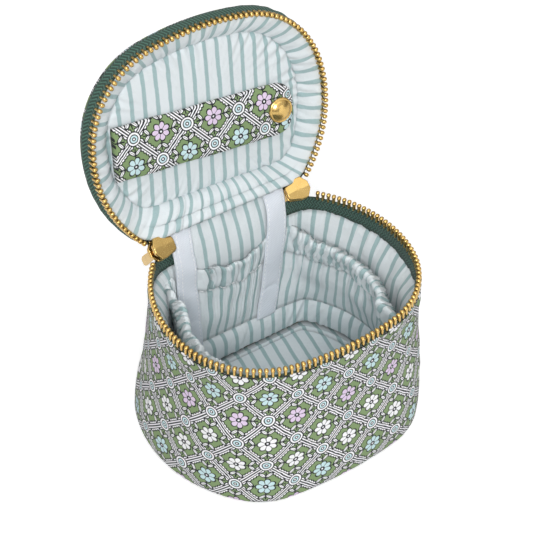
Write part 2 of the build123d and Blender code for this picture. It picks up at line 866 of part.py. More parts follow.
# Lining of the lid's sides, sloping in to the pad, with its own back end over the hinge
lid_lining_outer = [
    (lid_lining_start, lining_edge_inset - lining_cloth),
    (lid_recess, pad_seam_inset),
]
lid_lining_inner = [
    (lid_lining_start, lining_edge_inset),
    (lid_recess, lid_recess_inset),
]
with BuildPart() as lid_side_lining:
    rim_stack(lid_plane, lid_lining_outer)
    rim_stack(lid_plane, lid_lining_inner, mode=Mode.SUBTRACT)

with BuildPart() as lid_lining:
    add(lid_side_lining.part)
    lid_back_strip(back_seam_x(), Mode.SUBTRACT)
    slider_notches(lid_plane)
lid_lining.part.label = "lid_lining"
export_step(lid_lining.part, "parts/lid_lining.step")

with BuildPart() as lid_back_lining:
    add(lid_side_lining.part)
    lid_back_strip(back_seam_x(), Mode.INTERSECT)
lid_back_lining.part.label = "lid_back_lining"
export_step(lid_back_lining.part, "parts/lid_back_lining.step")

# Padding inside the lid's sides, between the tape and the sloping lining
with BuildPart() as lid_side_foam:
    rim_stack(lid_plane, [(outer_edge_below_teeth, tape_back_inset), (pad_back, tape_back_inset)])
    rim_stack(
        lid_plane,
        [(lid_lining_start, lining_edge_inset - lining_cloth), (lid_recess, pad_seam_inset), (pad_back, pad_seam_inset)],
        mode=Mode.SUBTRACT,
    )
    slider_notches(lid_plane)
lid_side_foam.part.label = "lid_side_foam"
export_step(lid_side_foam.part, "parts/lid_side_foam.step")

# Ring bar: a padded strap, sewn to the lid pad at its left end and snapped at its right
with BuildPart() as ring_bar:
    with BuildSketch(bar_plane) as bar_outline:
        draw_bar(0.0)
    extrude(amount=-bar_thickness)
    front_face = ring_bar.faces().sort_by(Axis(bar_plane.origin, bar_plane.z_dir))[0]
    fillet(front_face.edges(), bar_edge_r)
    with BuildSketch(bar_plane):
        with Locations((bar_length - snap_from_end, 0)):
            Circle(socket_r)
    extrude(amount=-socket_height, mode=Mode.SUBTRACT)
    with BuildSketch(bar_plane):
        with Locations((bar_length - snap_from_end, 0)):
            Circle(post_r)
    extrude(amount=-bar_thickness, mode=Mode.SUBTRACT)
    with BuildSketch(bar_plane.offset(-bar_cloth)):
        draw_bar_core()
    extrude(amount=2 * bar_cloth - bar_thickness, mode=Mode.SUBTRACT)
ring_bar.part.label = "ring_bar"
export_step(ring_bar.part, "parts/ring_bar.step")

with BuildPart() as ring_bar_core:
    with BuildSketch(bar_plane.offset(-bar_cloth)):
        draw_bar_core()
    extrude(amount=2 * bar_cloth - bar_thickness)
ring_bar_core.part.label = "ring_bar_core"
export_step(ring_bar_core.part, "parts/ring_bar_core.step")

# Snap: a domed cap and its socket on the bar, a stud and its back on the lid pad
snap_plane = Plane(bar_plane.from_local_coords((bar_length - snap_from_end, 0, 0)), x_dir=bar_plane.x_dir, z_dir=bar_plane.z_dir)
with BuildPart() as snap_cap:
    with BuildSketch(snap_plane.offset(-bar_thickness)):
        Circle(cap_r)
    extrude(amount=-cap_height)
    dome_face = snap_cap.faces().sort_by(Axis(snap_plane.origin, snap_plane.z_dir))[0]
    fillet(dome_face.edges(), cap_edge_r)
    with BuildSketch(snap_plane.offset(-bar_thickness - cap_height)):
        Circle(cap_dimple_r)
    extrude(amount=cap_dimple_depth, taper=30, mode=Mode.SUBTRACT)
    with BuildSketch(snap_plane.offset(-socket_height)):
        Circle(post_r)
    extrude(amount=socket_height - bar_thickness)
snap_cap.part.label = "snap_cap"
export_step(snap_cap.part, "parts/snap_cap.step")

with BuildPart() as snap_socket:
    with BuildSketch(snap_plane):
        Circle(socket_r)
    extrude(amount=-socket_height)
    with BuildSketch(snap_plane):
        Circle(stud_head_r + snap_clearance)
    extrude(amount=-socket_bore_depth, mode=Mode.SUBTRACT)
snap_socket.part.label = "snap_socket"
export_step(snap_socket.part, "parts/snap_socket.step")

with BuildPart() as snap_stud:
    with BuildSketch(snap_plane.offset(bar_gap)):
        Circle(stud_flange_r)
    extrude(amount=stud_flange_height)
    with BuildSketch(snap_plane.offset(bar_gap)):
        Circle(stud_head_r)
    extrude(amount=snap_clearance - bar_gap - socket_bore_depth)
    head_face = snap_stud.faces().sort_by(Axis(snap_plane.origin, snap_plane.z_dir))[0]
    chamfer(head_face.edges(), stud_head_chamfer)
snap_stud.part.label = "snap_stud"
export_step(snap_stud.part, "parts/snap_stud.step")

with BuildPart() as snap_stud_back:
    with BuildSketch(lid_plane.offset(pad_back)):
        with Locations((stud_x, stud_y)):
            Circle(stud_back_r)
    extrude(amount=stud_back_height)
    with BuildSketch(lid_plane.offset(pad_back)):
        with Locations((stud_x, stud_y)):
            Circle(post_r)
    extrude(amount=stud_flange_height - pad_thickness - pad_crown)
snap_stud_back.part.label = "snap_stud_back"
export_step(snap_stud_back.part, "parts/snap_stud_back.step")

# Sliders, one at each end of the zip, each with a pull hanging from its bail outside
for name, side in (("left", -1), ("right", 1)):
    frame_plane = slider_frame(side)
    half_height = slider_height / 2
    with BuildPart() as slider:
        with BuildSketch(frame_plane.offset(-half_height)) as shield:
            draw_shield()
        extrude(amount=slider_height)
        with BuildSketch(frame_plane.offset(-half_height + slider_plate)) as channel:
            draw_channel()
        extrude(amount=slider_height - 2 * slider_plate, mode=Mode.SUBTRACT)
        with BuildSketch(frame_plane.offset(-slider_slot / 2)) as slot:
            Rectangle(2 * slider_length, 2 * slider_width)
        extrude(amount=slider_slot, mode=Mode.SUBTRACT)
        with BuildSketch(frame_plane.offset(-half_height)) as wedge:
            draw_wedge()
        extrude(amount=slider_height)
        with BuildSketch(frame_plane.offset(half_height)) as feet:
            with GridLocations(bail_span + bail_foot, 1, 2, 1):
                Rectangle(bail_foot, bail_foot_width)
        extrude(amount=bail_rise + bail_bar_r)
        with BuildSketch(bail_plane(side)) as bar_end:
            Circle(bail_bar_r)
        extrude(amount=bail_span / 2 + bail_foot / 2, both=True)
    slider.part.label = name + "_slider"
    export_step(slider.part, "parts/" + name + "_slider.step")

    with BuildPart() as pull:
        eye_r = bail_bar_r + pull_clearance
        eye_outer_r = eye_r + pull_eye_wall
        eye_length = bail_span - 2 * pull_clearance
        with BuildSketch(pull_plane(side)) as tab:
            with Locations((0, -(pull_length + eye_r) / 2)):
                Rectangle(eye_length, pull_length - eye_r)
            fillet(tab.vertices().group_by(Axis.Y)[0], pull_end_r)
        extrude(amount=pull_thickness / 2, both=True)
        with BuildSketch(bail_plane(side)) as eye:
            Circle(eye_outer_r)
        extrude(amount=eye_length / 2, both=True)
        with BuildSketch(bail_plane(side)) as eye_hole:
            Circle(eye_r)
        extrude(amount=eye_length / 2, both=True, mode=Mode.SUBTRACT)
    pull.part.label = name + "_pull"
    export_step(pull.part, "parts/" + name + "_pull.step")
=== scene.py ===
import math

import bpy
import numpy as np
from bpy.props import FloatProperty, FloatVectorProperty, PointerProperty
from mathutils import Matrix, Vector


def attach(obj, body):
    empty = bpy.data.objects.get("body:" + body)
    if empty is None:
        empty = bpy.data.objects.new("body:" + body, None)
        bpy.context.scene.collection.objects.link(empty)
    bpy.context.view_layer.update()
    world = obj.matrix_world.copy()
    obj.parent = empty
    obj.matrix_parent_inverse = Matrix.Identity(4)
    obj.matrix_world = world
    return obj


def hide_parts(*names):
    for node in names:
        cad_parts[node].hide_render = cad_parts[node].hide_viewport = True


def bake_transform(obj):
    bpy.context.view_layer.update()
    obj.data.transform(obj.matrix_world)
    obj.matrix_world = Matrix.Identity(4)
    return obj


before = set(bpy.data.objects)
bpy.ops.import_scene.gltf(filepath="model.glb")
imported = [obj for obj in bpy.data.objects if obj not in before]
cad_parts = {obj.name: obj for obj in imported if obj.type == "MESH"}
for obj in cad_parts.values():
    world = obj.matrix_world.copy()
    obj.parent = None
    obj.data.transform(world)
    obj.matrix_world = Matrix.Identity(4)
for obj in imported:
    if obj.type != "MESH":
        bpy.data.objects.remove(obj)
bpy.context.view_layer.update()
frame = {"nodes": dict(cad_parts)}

bl_info = {
    "name": "Padded Jewelry Case",
    "version": (1, 0, 0),
    "blender": (4, 5, 0),
    "location": "View3D > Sidebar > Jewelry Case",
    "description": "A zipped, padded cloth case with gathered pockets and a ring bar",
    "category": "Add Mesh",
}

# Millimetres from here on. Outlines are drawn with the hinge line at y = 0.
MM = 0.001

# Outlines: radii of the back corner, the side, the front corner and the front; how far the widest place is
# from the hinge; how far the foot reaches back past the hinge
RIM_RADII = (13.6, 59.7, 41.0, 123.7)
RIM_WIDEST = 44.4
FOOT_RADII = (24.0, 63.8, 32.1, 185.5)
FOOT_WIDEST = 39.7
FOOT_OVERHANG = 2.9
FOOT_ROUND_HEIGHT = 4.0
FOOT_ROUND_INSET = 3.2
WAIST_SHARE = 0.7
WAIST_INSET = 1.6
MIDDLE_Y = -45.0

OUTER_CLOTH = 0.9
LINING_CLOTH = 0.7
POCKET_CLOTH = 0.6
BINDING_CLOTH = 0.9
WALL_INSET = 8.0
BACK_INSET = 7.0
BACK_LEAN = 3.2
BACK_TURN = 64.0
BAND_TOP = 75.0
BACK_SEAM_X = 27.9
SEAM_LAP = 0.5
HINGE_BEND = 5.5
LINING_TOP = 68.8

TAPE_BOTTOM = 64.8
TAPE_TOP = 75.8
TAPE_THICKNESS = 0.8
TOOTH_INSET = 1.3
TOOTH_HEIGHT = 3.4
TOOTH_REACH = 0.8
SLIDER_TAIL_X = 29.0
SLIDER_LENGTH = 11.0
PLATE_HALF = 5.5
PLATE_OUT = 1.95
PLATE_THICKNESS = 0.75
RAIL_R = 0.55
BAIL_R = 0.68
BAIL_OUT = 4.4
EYE_R = 0.36
EYE_BEND = 1.35
TAG_HALF = 10.0
TAG_DROP = 11.6
TAG_THICKNESS = 0.55

POCKET_FOOT = 21.0
POCKET_FRONT = 30.0
POCKET_LIP = 1.25
CASING = 12.0
FULLNESS = 1.25
BINDING_ENDS = {1: (13.2, 22.5), -1: (-26.2, -25.6)}
BINDING_TOP = 77.4
BINDING_STITCH = 0.8

# Rows of stitches: pitch, length and radius of a stitch
POCKET_THREAD = (2.4, 1.7, 0.17)
BINDING_THREAD = (2.2, 1.5, 0.14)

LID_CROWN = 1.0
LID_EDGE_R = 4.5
LID_FLAT_STARTS = 22.0
LID_RINGS_END = 38.0
LID_CLOTH_START = 7.0
LID_LINING_START = 3.0
LID_TAPE_EDGE = 8.1
LID_RECESS = 8.0
LID_ROLL_SPLIT = 0.36
PAD_INSET = 10.5
PAD_BACK = 14.0
PAD_BACK_R = 12.0
PAD_MIDDLE_Y = -47.0
BAR_START = (-45.0, -47.1, 6.3)
BAR_TILT = math.radians(5.5)
BAR_LENGTH = 86.0
BAR_WIDTH = 24.5
BAR_THICKNESS = 4.0
BAR_END_R = 9.0
SNAP_FROM_END = 7.0

ROLL_MIDDLE = 13.6
ROLL_HALF = 6.9
ROLL_REACH = 4.3
FLOOR_TOP = 7.2
FLOOR_DROP = 1.8
FLOOR_HALF = 45
FLOOR_GROOVE = 6.2
FLOOR_TILT = math.radians(9)

# The print is drawn in cells of this size and then scaled to its repeat
PRINT_CELL = 28.0
PRINT_SOFT = 0.07
AROUND_LIGHT = 0.36


def srgb(red, green, blue):
    """Linear colour of an sRGB colour given as 0 to 255."""
    value = np.array((red, green, blue)) / 255
    return tuple(np.where(value < 0.04045, value / 12.92, ((value + 0.055) / 1.055) ** 2.4))


def length(label, description, default):
    """A size in metres, given in millimetres."""
    return FloatProperty(
        name=label, description=description, default=default * MM, min=0, unit="LENGTH", precision=5
    )


def colour(label, description, *default):
    """A colour, given as sRGB from 0 to 255."""
    return FloatVectorProperty(
        name=label, description=description, default=srgb(*default), size=3, subtype="COLOR", min=0, max=1
    )


class CaseSizes(bpy.types.PropertyGroup):
    """Sizes of the case that a maker would change."""

    rim_width: length("Rim width", "Width of the rim over the cloth", 114.6)
    rim_depth: length("Rim depth", "Depth of the rim from the hinge to the front", 91.0)
    foot_width: length("Foot width", "Width of the underside", 127.6)
    foot_depth: length("Foot depth", "Depth of the underside", 95.5)
    base_height: length("Tub height", "Height of the line between the two rows of teeth", 78.4)
    lid_height: length("Lid height", "Height of the closed lid", 14.0)
    pocket_height: length("Pocket height", "Height of the gathered pockets", 42.0)
    binding_width: length("Binding width", "Width of the bindings over the back seams", 10.5)
    tooth_pitch: length("Tooth pitch", "Distance between two teeth of one row", 2.5)
    stripe_pitch: length("Stripe pitch", "Distance between two stripes of the lining", 5.9)
    stripe_width: length("Stripe width", "Width of a stripe of the lining", 1.8)
    print_repeat: length("Print repeat", "Distance between two like flowers of the print", 25.0)
    open_angle: FloatProperty(
        name="Open angle", description="How far the lid is open at rest", default=math.radians(103), subtype="ANGLE"
    )


class CaseColours(bpy.types.PropertyGroup):
    """Colours of the cloths, the zip and the metal."""

    ground: colour("Print ground", "Main colour of the printed cloth", 128, 152, 104)
    line: colour("Print line", "Fine lines of the print", 26, 30, 34)
    white: colour("Print white", "Flowers and trellis of the print", 248, 248, 250)
    aqua: colour("Print aqua", "Second flower colour", 203, 228, 232)
    lilac: colour("Print lilac", "Third flower colour", 226, 208, 232)
    lining: colour("Lining", "Ground of the striped lining", 221, 228, 231)
    stripe: colour("Stripe", "Stripes of the lining", 158, 184, 186)
    binding: colour("Binding", "Woven bindings", 218, 225, 235)
    tape: colour("Zip tape", "Woven tape of the zip", 38, 60, 52)
    metal: colour("Metal", "Teeth, sliders and snap", 204, 172, 107)
    floor: colour("Floor", "Surface the case stands on", 246, 246, 246)


def colours():
    return bpy.context.scene.case_colours


def size(name):
    """One of the case's sizes, in millimetres."""
    return getattr(bpy.context.scene.case_sizes, name) / MM


def open_angle():
    return bpy.context.scene.case_sizes.open_angle


# Outlines and places


def rim_shape():
    return (size("rim_width"), size("rim_depth"), *RIM_RADII, RIM_WIDEST, 0.0)


def foot_shape():
    return (size("foot_width"), size("foot_depth"), *FOOT_RADII, FOOT_WIDEST, FOOT_OVERHANG)


def outline(shape, inset, run_share):
    """Place, outward direction and run on the D-shaped outline drawn in by inset.

    Four tangent arcs and a straight back follow each other, so a place is the sum of what each
    adds: radius times the change of the sine and cosine of its heading. run_share is 0 at the
    middle of the front and 1 or -1 at the middle of the back.
    """
    width, depth, back_r, side_r, corner_r, front_r, widest, back = shape
    width, depth, widest, back = width - 2 * inset, depth - 2 * inset, widest - inset, back - inset
    back_r = back_r * np.exp(-inset / back_r)
    side_r, corner_r, front_r = side_r - inset, corner_r - inset, front_r - inset
    side_x = width / 2 - side_r
    back_x = side_x + np.sqrt((side_r - back_r) ** 2 - (widest - back_r) ** 2)
    front_y = front_r - depth
    gap_x, gap_y = -side_x, front_y + widest
    gap = np.hypot(gap_x, gap_y)
    near, far = side_r - corner_r, front_r - corner_r
    along = (near**2 - far**2 + gap**2) / (2 * gap)
    away = np.sqrt(near**2 - along**2)
    corner_x = side_x + (along * gap_x + away * gap_y) / gap
    corner_y = -widest + (along * gap_y - away * gap_x) / gap
    headings = [
        0.0 * corner_x,
        np.arctan2(corner_y - front_y, corner_x) + np.pi / 2,
        np.arctan2(corner_y + widest, corner_x - side_x) + np.pi / 2,
        np.arctan2(widest - back_r, back_x - side_x) + np.pi / 2,
        np.pi + 0.0 * corner_x,
    ]
    radii = [front_r, corner_r, side_r, back_r]
    arcs = [radius * (stop - start) for radius, start, stop in zip(radii, headings, headings[1:])]
    total = sum(arcs) + back_x
    run = np.abs(run_share) * total
    x, y, done, heading = 0.0, -depth, 0.0, 0.0
    for radius, start, arc in zip(radii, headings, arcs):
        turned = start + np.clip(run - done, 0, arc) / radius
        x = x + radius * (np.sin(turned) - np.sin(start))
        y = y - radius * (np.cos(turned) - np.cos(start))
        heading = np.where(run > done, turned, heading)
        done = done + arc
    x = x - np.maximum(run - done, 0)
    side = np.where(run_share < 0, -1.0, 1.0)
    return side * x, y + back, side * np.sin(heading), -np.cos(heading), run_share * total


def half_length(shape, inset):
    """Half the length of an outline, from the middle of the front to the middle of the back."""
    return float(outline(shape, inset, np.array([1.0]))[4][0])


def share_at_back(inset, x):
    """The run share at a place x on the rim's straight back."""
    total = half_length(rim_shape(), inset)
    return (total - x) / total


def hinge():
    """A point on the hinge line."""
    return np.array([0.0, size("foot_depth") / 2 - FOOT_OVERHANG, size("base_height")])


def tub_points(x, y, z):
    """Row-frame points from outline terms, in millimetres."""
    return np.stack(np.broadcast_arrays(x, y + hinge()[1], z), -1)


def turned_points(x, y, depth, angle):
    """Row-frame points of a plane turned about the hinge line: depth is measured out of it."""
    x, y, depth = np.broadcast_arrays(x, y, depth)
    sine, cosine = math.sin(angle), math.cos(angle)
    return hinge() + np.stack([x, y * cosine + depth * sine, depth * cosine - y * sine], -1)


def lid_points(x, y, depth):
    """Row-frame points of the open lid, given where they are in the closed lid."""
    return turned_points(x, y, depth, open_angle())


def lid_directions(x, y, depth):
    """Row-frame directions of the open lid."""
    return lid_points(x, y, depth) - hinge()


def rotated(x, y, angle):
    """Places turned in their plane by an angle."""
    return x * math.cos(angle) - y * math.sin(angle), x * math.sin(angle) + y * math.cos(angle)


def bar_points(x, y, out):
    """Row-frame points on the ring bar: x from its sewn end, out from its back towards the tub."""
    x, y = rotated(x, y, BAR_TILT)
    return lid_points(BAR_START[0] + x, BAR_START[1] + y, BAR_START[2] - out)


# Curves of numbers


def ripple(u, v, seed, wave):
    """Smooth unevenness: a sum of nine sine waves of about one wavelength, in seeded directions."""
    draw = np.random.default_rng(seed)
    total = 0.0
    for _ in range(9):
        angle, phase, scale = draw.uniform(0, np.pi), draw.uniform(0, 2 * np.pi), draw.uniform(0.7, 1.6)
        total = total + np.sin(2 * np.pi * scale / wave * (u * np.cos(angle) + v * np.sin(angle)) + phase)
    return total / 3


def wander(u, seed, wave):
    """Unevenness along one direction: a sum of seven sine waves in seeded phases."""
    draw = np.random.default_rng(seed)
    total = 0.0
    for _ in range(7):
        phase, scale = draw.uniform(0, 2 * np.pi), draw.uniform(0.6, 1.7)
        total = total + np.sin(2 * np.pi * scale * u / wave + phase)
    return total / 2.6


def ease(value, start, stop):
    """0 before start, 1 after stop and a smooth step between them."""
    share = np.clip((value - start) / (stop - start), 0, 1)
    return share * share * (3 - 2 * share)


def bell(value, middle, width):
    """1 at the middle and falling to both sides of it, as a Gaussian of that width."""
    return np.exp(-(((value - middle) / width) ** 2))


def arch(share):
    """0 at shares 0 and 1, and 1 half way: half a sine wave."""
    return np.sin(np.pi * np.clip(share, 0, 1))


def steps(*stretches):
    """Evenly spaced values through several stretches, each (start, stop, count), one after the other."""
    parts = [np.linspace(*stretch)[:-1] for stretch in stretches[:-1]] + [np.linspace(*stretches[-1])]
    return np.concatenate(parts)


def unit(vectors):
    return vectors / np.linalg.norm(vectors, axis=-1, keepdims=True)


def run_along(path):
    """Distance from a path's start at each of its points."""
    return np.concatenate([[0], np.cumsum(np.linalg.norm(np.diff(path, axis=0), axis=1))])


def between(wanted, run, rows):
    """Rows of numbers given along a run, read at other places of it."""
    return np.stack([np.interp(wanted, run, column) for column in rows.T], -1)


def curve(start, corner, stop, count):
    """A quadratic curve from start to stop that leaves and arrives towards the corner."""
    t = np.linspace(0, 1, count)[:, None]
    return (1 - t) ** 2 * start + 2 * t * (1 - t) * corner + t**2 * stop


# Meshes


def placed(name, data):
    """An object for a mesh, a lamp or the camera."""
    obj = bpy.data.objects.new(name, data)
    bpy.context.scene.collection.objects.link(obj)
    return obj


def faced(name, points, faces):
    """A smooth mesh of points in millimetres and the faces between them."""
    mesh = bpy.data.meshes.new(name)
    mesh.from_pydata((points.reshape(-1, 3) * MM).tolist(), [], faces)
    mesh.shade_smooth()
    return mesh


def surface(name, points, u, v, seam=None, wrap=False, poles=(False, False), flip=None):
    """A mesh through a grid of points in millimetres, with a quad between each four neighbours.

    wrap joins the last column to the first; a pole makes a whole row one point. u and v are in
    millimetres of cloth. seam is 1 where the cloth is sewn down. flip turns the grid's rows (0)
    or columns (1) round, so that the faces look outwards.
    """
    rows, columns = points.shape[:2]
    uv = np.stack([np.broadcast_to(values, (rows, columns)) for values in (u, v)], -1)
    painted_shade_grid = np.broadcast_to(0.0 if seam is None else seam, (rows, columns))
    if flip is not None:
        points, uv, painted_shade_grid = (np.flip(values, flip) for values in (points, uv, painted_shade_grid))
    plain = np.arange(rows * columns).reshape(rows, columns)
    index = plain.copy()
    if wrap:
        index[:, -1] = index[:, 0]
    for row, pole in zip((0, -1), poles):
        if pole:
            index[row] = index[row, 0]

    def corners(grid):
        return np.stack([grid[:-1, :-1], grid[:-1, 1:], grid[1:, 1:], grid[1:, :-1]], -1)

    joined_up, apart = corners(index), corners(plain)
    kept = [(slice(poles[0], rows - 1 - poles[1]), (0, 1, 2, 3))]
    kept += [(slice(0, 1), (0, 2, 3))] * poles[0] + [(slice(-1, None), (0, 1, 2))] * poles[1]
    faces, loops = [], []
    for part, order in kept:
        faces += joined_up[part][..., order].reshape(-1, len(order)).tolist()
        loops.append(apart[part][..., order].reshape(-1))
    used = np.unique(np.concatenate([np.ravel(face) for face in faces]))
    place = np.zeros(rows * columns, int)
    place[used] = np.arange(len(used))
    mesh = faced(name, points.reshape(-1, 3)[used], [[place[i] for i in face] for face in faces])
    layer = mesh.uv_layers.new(name="cloth")
    layer.uv.foreach_set("vector", uv.reshape(-1, 2)[np.concatenate(loops)].astype(np.float32).ravel())
    # painted shade: kept as a point attribute, by which the cloth materials darken their colour
    if seam is not None:
        attribute = mesh.attributes.new("seam", "FLOAT", "POINT")
        attribute.data.foreach_set("value", painted_shade_grid.reshape(-1)[used].astype(np.float32))
    return placed(name, mesh)


def thicken(obj, thickness):
    """Gives a sheet its thickness, away from the side that is seen."""
    solid = obj.modifiers.new("cloth thickness", "SOLIDIFY")
    solid.thickness = thickness * MM
    solid.offset = -1


def repeated(name, template, faces, centres, axes):
    """Copies a small closed shape to every place: its points times each place's three axes."""
    points = centres[:, None] + np.einsum("pk,nkc->npc", template, axes)
    shift = (np.arange(len(centres)) * len(template))[:, None]
    copies = [(np.array(face)[None] + shift).tolist() for face in faces]
    return placed(name, faced(name, points, [face for group in copies for face in group]))


def ringed(levels, around):
    """A closed shape of rings: each level is its height, half sizes and how square it is."""
    angle = np.arange(around) * 2 * np.pi / around
    cosine, sine = np.cos(angle), np.sin(angle)
    points = []
    for height, half_x, half_y, square in levels:
        bent_x = np.sign(cosine) * np.abs(cosine) ** square
        bent_y = np.sign(sine) * np.abs(sine) ** square
        points.append(np.stack([half_x * bent_x, half_y * bent_y, np.full(around, height)], -1))
    faces = [tuple(range(around))[::-1]]
    for low in range(0, (len(levels) - 1) * around, around):
        for i in range(around):
            j, high = (i + 1) % around, low + around
            faces.append((low + i, low + j, high + j, high + i))
    faces.append(tuple((len(levels) - 1) * around + i for i in range(around)))
    return np.concatenate(points), faces


def stitches(name, path, normals, thread, body):
    """A row of stitches on a path: each is a short, thick thread sunk at both ends."""
    pitch, stitch, radius = thread
    run = run_along(path)
    wanted = np.arange(pitch / 2, run[-1], pitch)
    heading = unit(between(wanted + 0.3, run, path) - between(wanted - 0.3, run, path))
    up = unit(between(wanted, run, normals))
    half = stitch / 2
    sizes = ((-1, 0.1), (-0.6, radius), (0.6, radius), (1, 0.1))
    template, faces = ringed([(share * half, reach, reach, 1) for share, reach in sizes], 6)
    template[:, 1] += radius * (1 - (template[:, 2] / half) ** 2) - 0.1
    axes = np.stack([np.cross(up, heading), up, heading], 1)
    row = repeated(name, template, faces, between(wanted, run, path), axes)
    return dress(row, "white thread", thread_material, body, slot="white_binding")


# Shader arithmetic


def feed(tree, node, inputs):
    """Fills a shader node's inputs: each is a Value to link, a number or a colour."""
    for place, value in inputs.items():
        if isinstance(value, Value):
            tree.links.new(value.socket, node.inputs[place])
        elif hasattr(value, "__len__"):
            node.inputs[place].default_value = (*value, 1.0)
        else:
            node.inputs[place].default_value = value


def shader_node(tree, kind, inputs, **settings):
    """A new shader node with its settings and inputs."""
    node = tree.nodes.new("ShaderNode" + kind)
    for key, setting in settings.items():
        setattr(node, key, setting)
    feed(tree, node, inputs)
    return node


def by_math(operation):
    """A method of Value that makes a Math node of one operation."""

    def method(self, *others):
        inputs = dict(enumerate((self, *others)))
        return Value(self.tree, shader_node(self.tree, "Math", inputs, operation=operation).outputs[0])

    return method


class Value:
    """A shader value that ordinary arithmetic turns into Math nodes."""

    __add__ = __radd__ = by_math("ADD")
    __mul__ = __rmul__ = by_math("MULTIPLY")
    __sub__, __truediv__, __pow__ = by_math("SUBTRACT"), by_math("DIVIDE"), by_math("POWER")
    __abs__, sine, floor, modulo = by_math("ABSOLUTE"), by_math("SINE"), by_math("FLOOR"), by_math("FLOORED_MODULO")
    least, most, heading = by_math("MINIMUM"), by_math("MAXIMUM"), by_math("ARCTAN2")

    def __init__(self, tree, socket):
        self.tree, self.socket = tree, socket

    def __rsub__(self, other):
        return self * -1.0 + other

    def fraction(self):
        return self.modulo(1.0)

    def below(self, edge, soft):
        """1 below an edge and 0 above it, with a soft step between."""
        inputs = {"Value": self, "From Min": edge - soft, "From Max": edge + soft, "To Min": 1.0, "To Max": 0.0}
        node = shader_node(self.tree, "MapRange", inputs, interpolation_type="SMOOTHSTEP")
        return Value(self.tree, node.outputs[0])

    def within(self, reach, soft):
        """1 where the value is nearer to 0 than a reach, with a soft step outside."""
        return abs(self).below(reach, soft)


def hypotenuse(a, b):
    return (a * a + b * b) ** 0.5


def wave(value, period):
    """A sine wave of the value, with that period."""
    return (value * (2 * math.pi / period)).sine()


class Cloth:
    """A material in the making: cloth coordinates in millimetres, noise, colour mixing and a finish."""

    def __init__(self, name, uv="cloth"):
        self.material = bpy.data.materials.new(name)
        self.material.use_nodes = True
        self.tree = self.material.node_tree
        self.tree.nodes.clear()
        self.output = shader_node(self.tree, "OutputMaterial", {})
        self.place = Value(self.tree, shader_node(self.tree, "TexCoord", {}).outputs["Object"])
        if uv:
            mapped = Value(self.tree, shader_node(self.tree, "UVMap", {}, uv_map=uv).outputs[0])
            parts = shader_node(self.tree, "SeparateXYZ", {0: mapped})
            self.u, self.v = (Value(self.tree, parts.outputs[k]) for k in (0, 1))

    def noise(self, scale, detail=2.0, roughness=0.5):
        """Noise of the object's own coordinates: scale is in waves for each metre."""
        inputs = {"Scale": scale, "Detail": detail, "Roughness": roughness, "Vector": self.place}
        return Value(self.tree, shader_node(self.tree, "TexNoise", inputs).outputs[0])

    def seam(self):
        """How near the cloth is to where it is sewn down, from the mesh."""
        return Value(self.tree, shader_node(self.tree, "Attribute", {}, attribute_name="seam").outputs["Fac"])

    def paint(self, base, *layers):
        """Colours one over another, each layer an amount from 0 to 1 and its colour."""
        for amount, tone in layers:
            mix = shader_node(self.tree, "Mix", {0: amount, 6: base, 7: tone}, data_type="RGBA")
            base = Value(self.tree, mix.outputs[2])
        return base

    def finish(self, tint, tone, height, depth, rough, **constants):
        """Ends the material: a colour times its tone, a bump of that depth in millimetres and roughness."""
        if tone is not None:
            scaled = shader_node(self.tree, "VectorMath", {0: tint, "Scale": tone}, operation="SCALE")
            tint = Value(self.tree, scaled.outputs[0])
        bump = shader_node(self.tree, "Bump", {"Distance": depth * MM, "Height": height})
        inputs = {"Base Color": tint, "Roughness": rough, "Normal": Value(self.tree, bump.outputs[0])}
        inputs.update({key.replace("_", " "): number for key, number in constants.items()})
        shader = shader_node(self.tree, "BsdfPrincipled", inputs)
        self.tree.links.new(shader.outputs[0], self.output.inputs[0])
        return self.material

    def weave(self, pitch):
        """Height of a plain weave: threads up and down in turns."""
        return wave(self.u, pitch) * wave(self.v, pitch) * 0.5 + 0.5


def ticking_material(name):
    """Striped cotton: soft-edged stripes along v, a fine weave, creases and darker seams."""
    cloth, tones = Cloth(name), colours()
    pitch, width = size("stripe_pitch"), size("stripe_width")
    wobble = cloth.noise(260) * 0.5 - 0.25
    place = ((cloth.u + wobble) / pitch).fraction()
    from_middle = abs(place - 0.5) * pitch
    stripe = from_middle.below(width / 2, 0.18) * (0.82 + cloth.noise(2600, 1.0) * 0.3)
    tint = cloth.paint(tones.lining, (stripe, tones.stripe))
    # painted shade: the colour is darkened by the mesh's shade attribute at seams, creases and fold valleys; the
    # noise is random tone
    tone = 1.03 - cloth.noise(90) * 0.06 - cloth.seam() * 0.34
    height = cloth.weave(0.42) * 0.12 + cloth.noise(330, 3.0, 0.6) * 0.9 + stripe * 0.05
    return cloth.finish(tint, tone, height, 0.55, 0.9, Sheen_Weight=0.15, Sheen_Roughness=0.5)


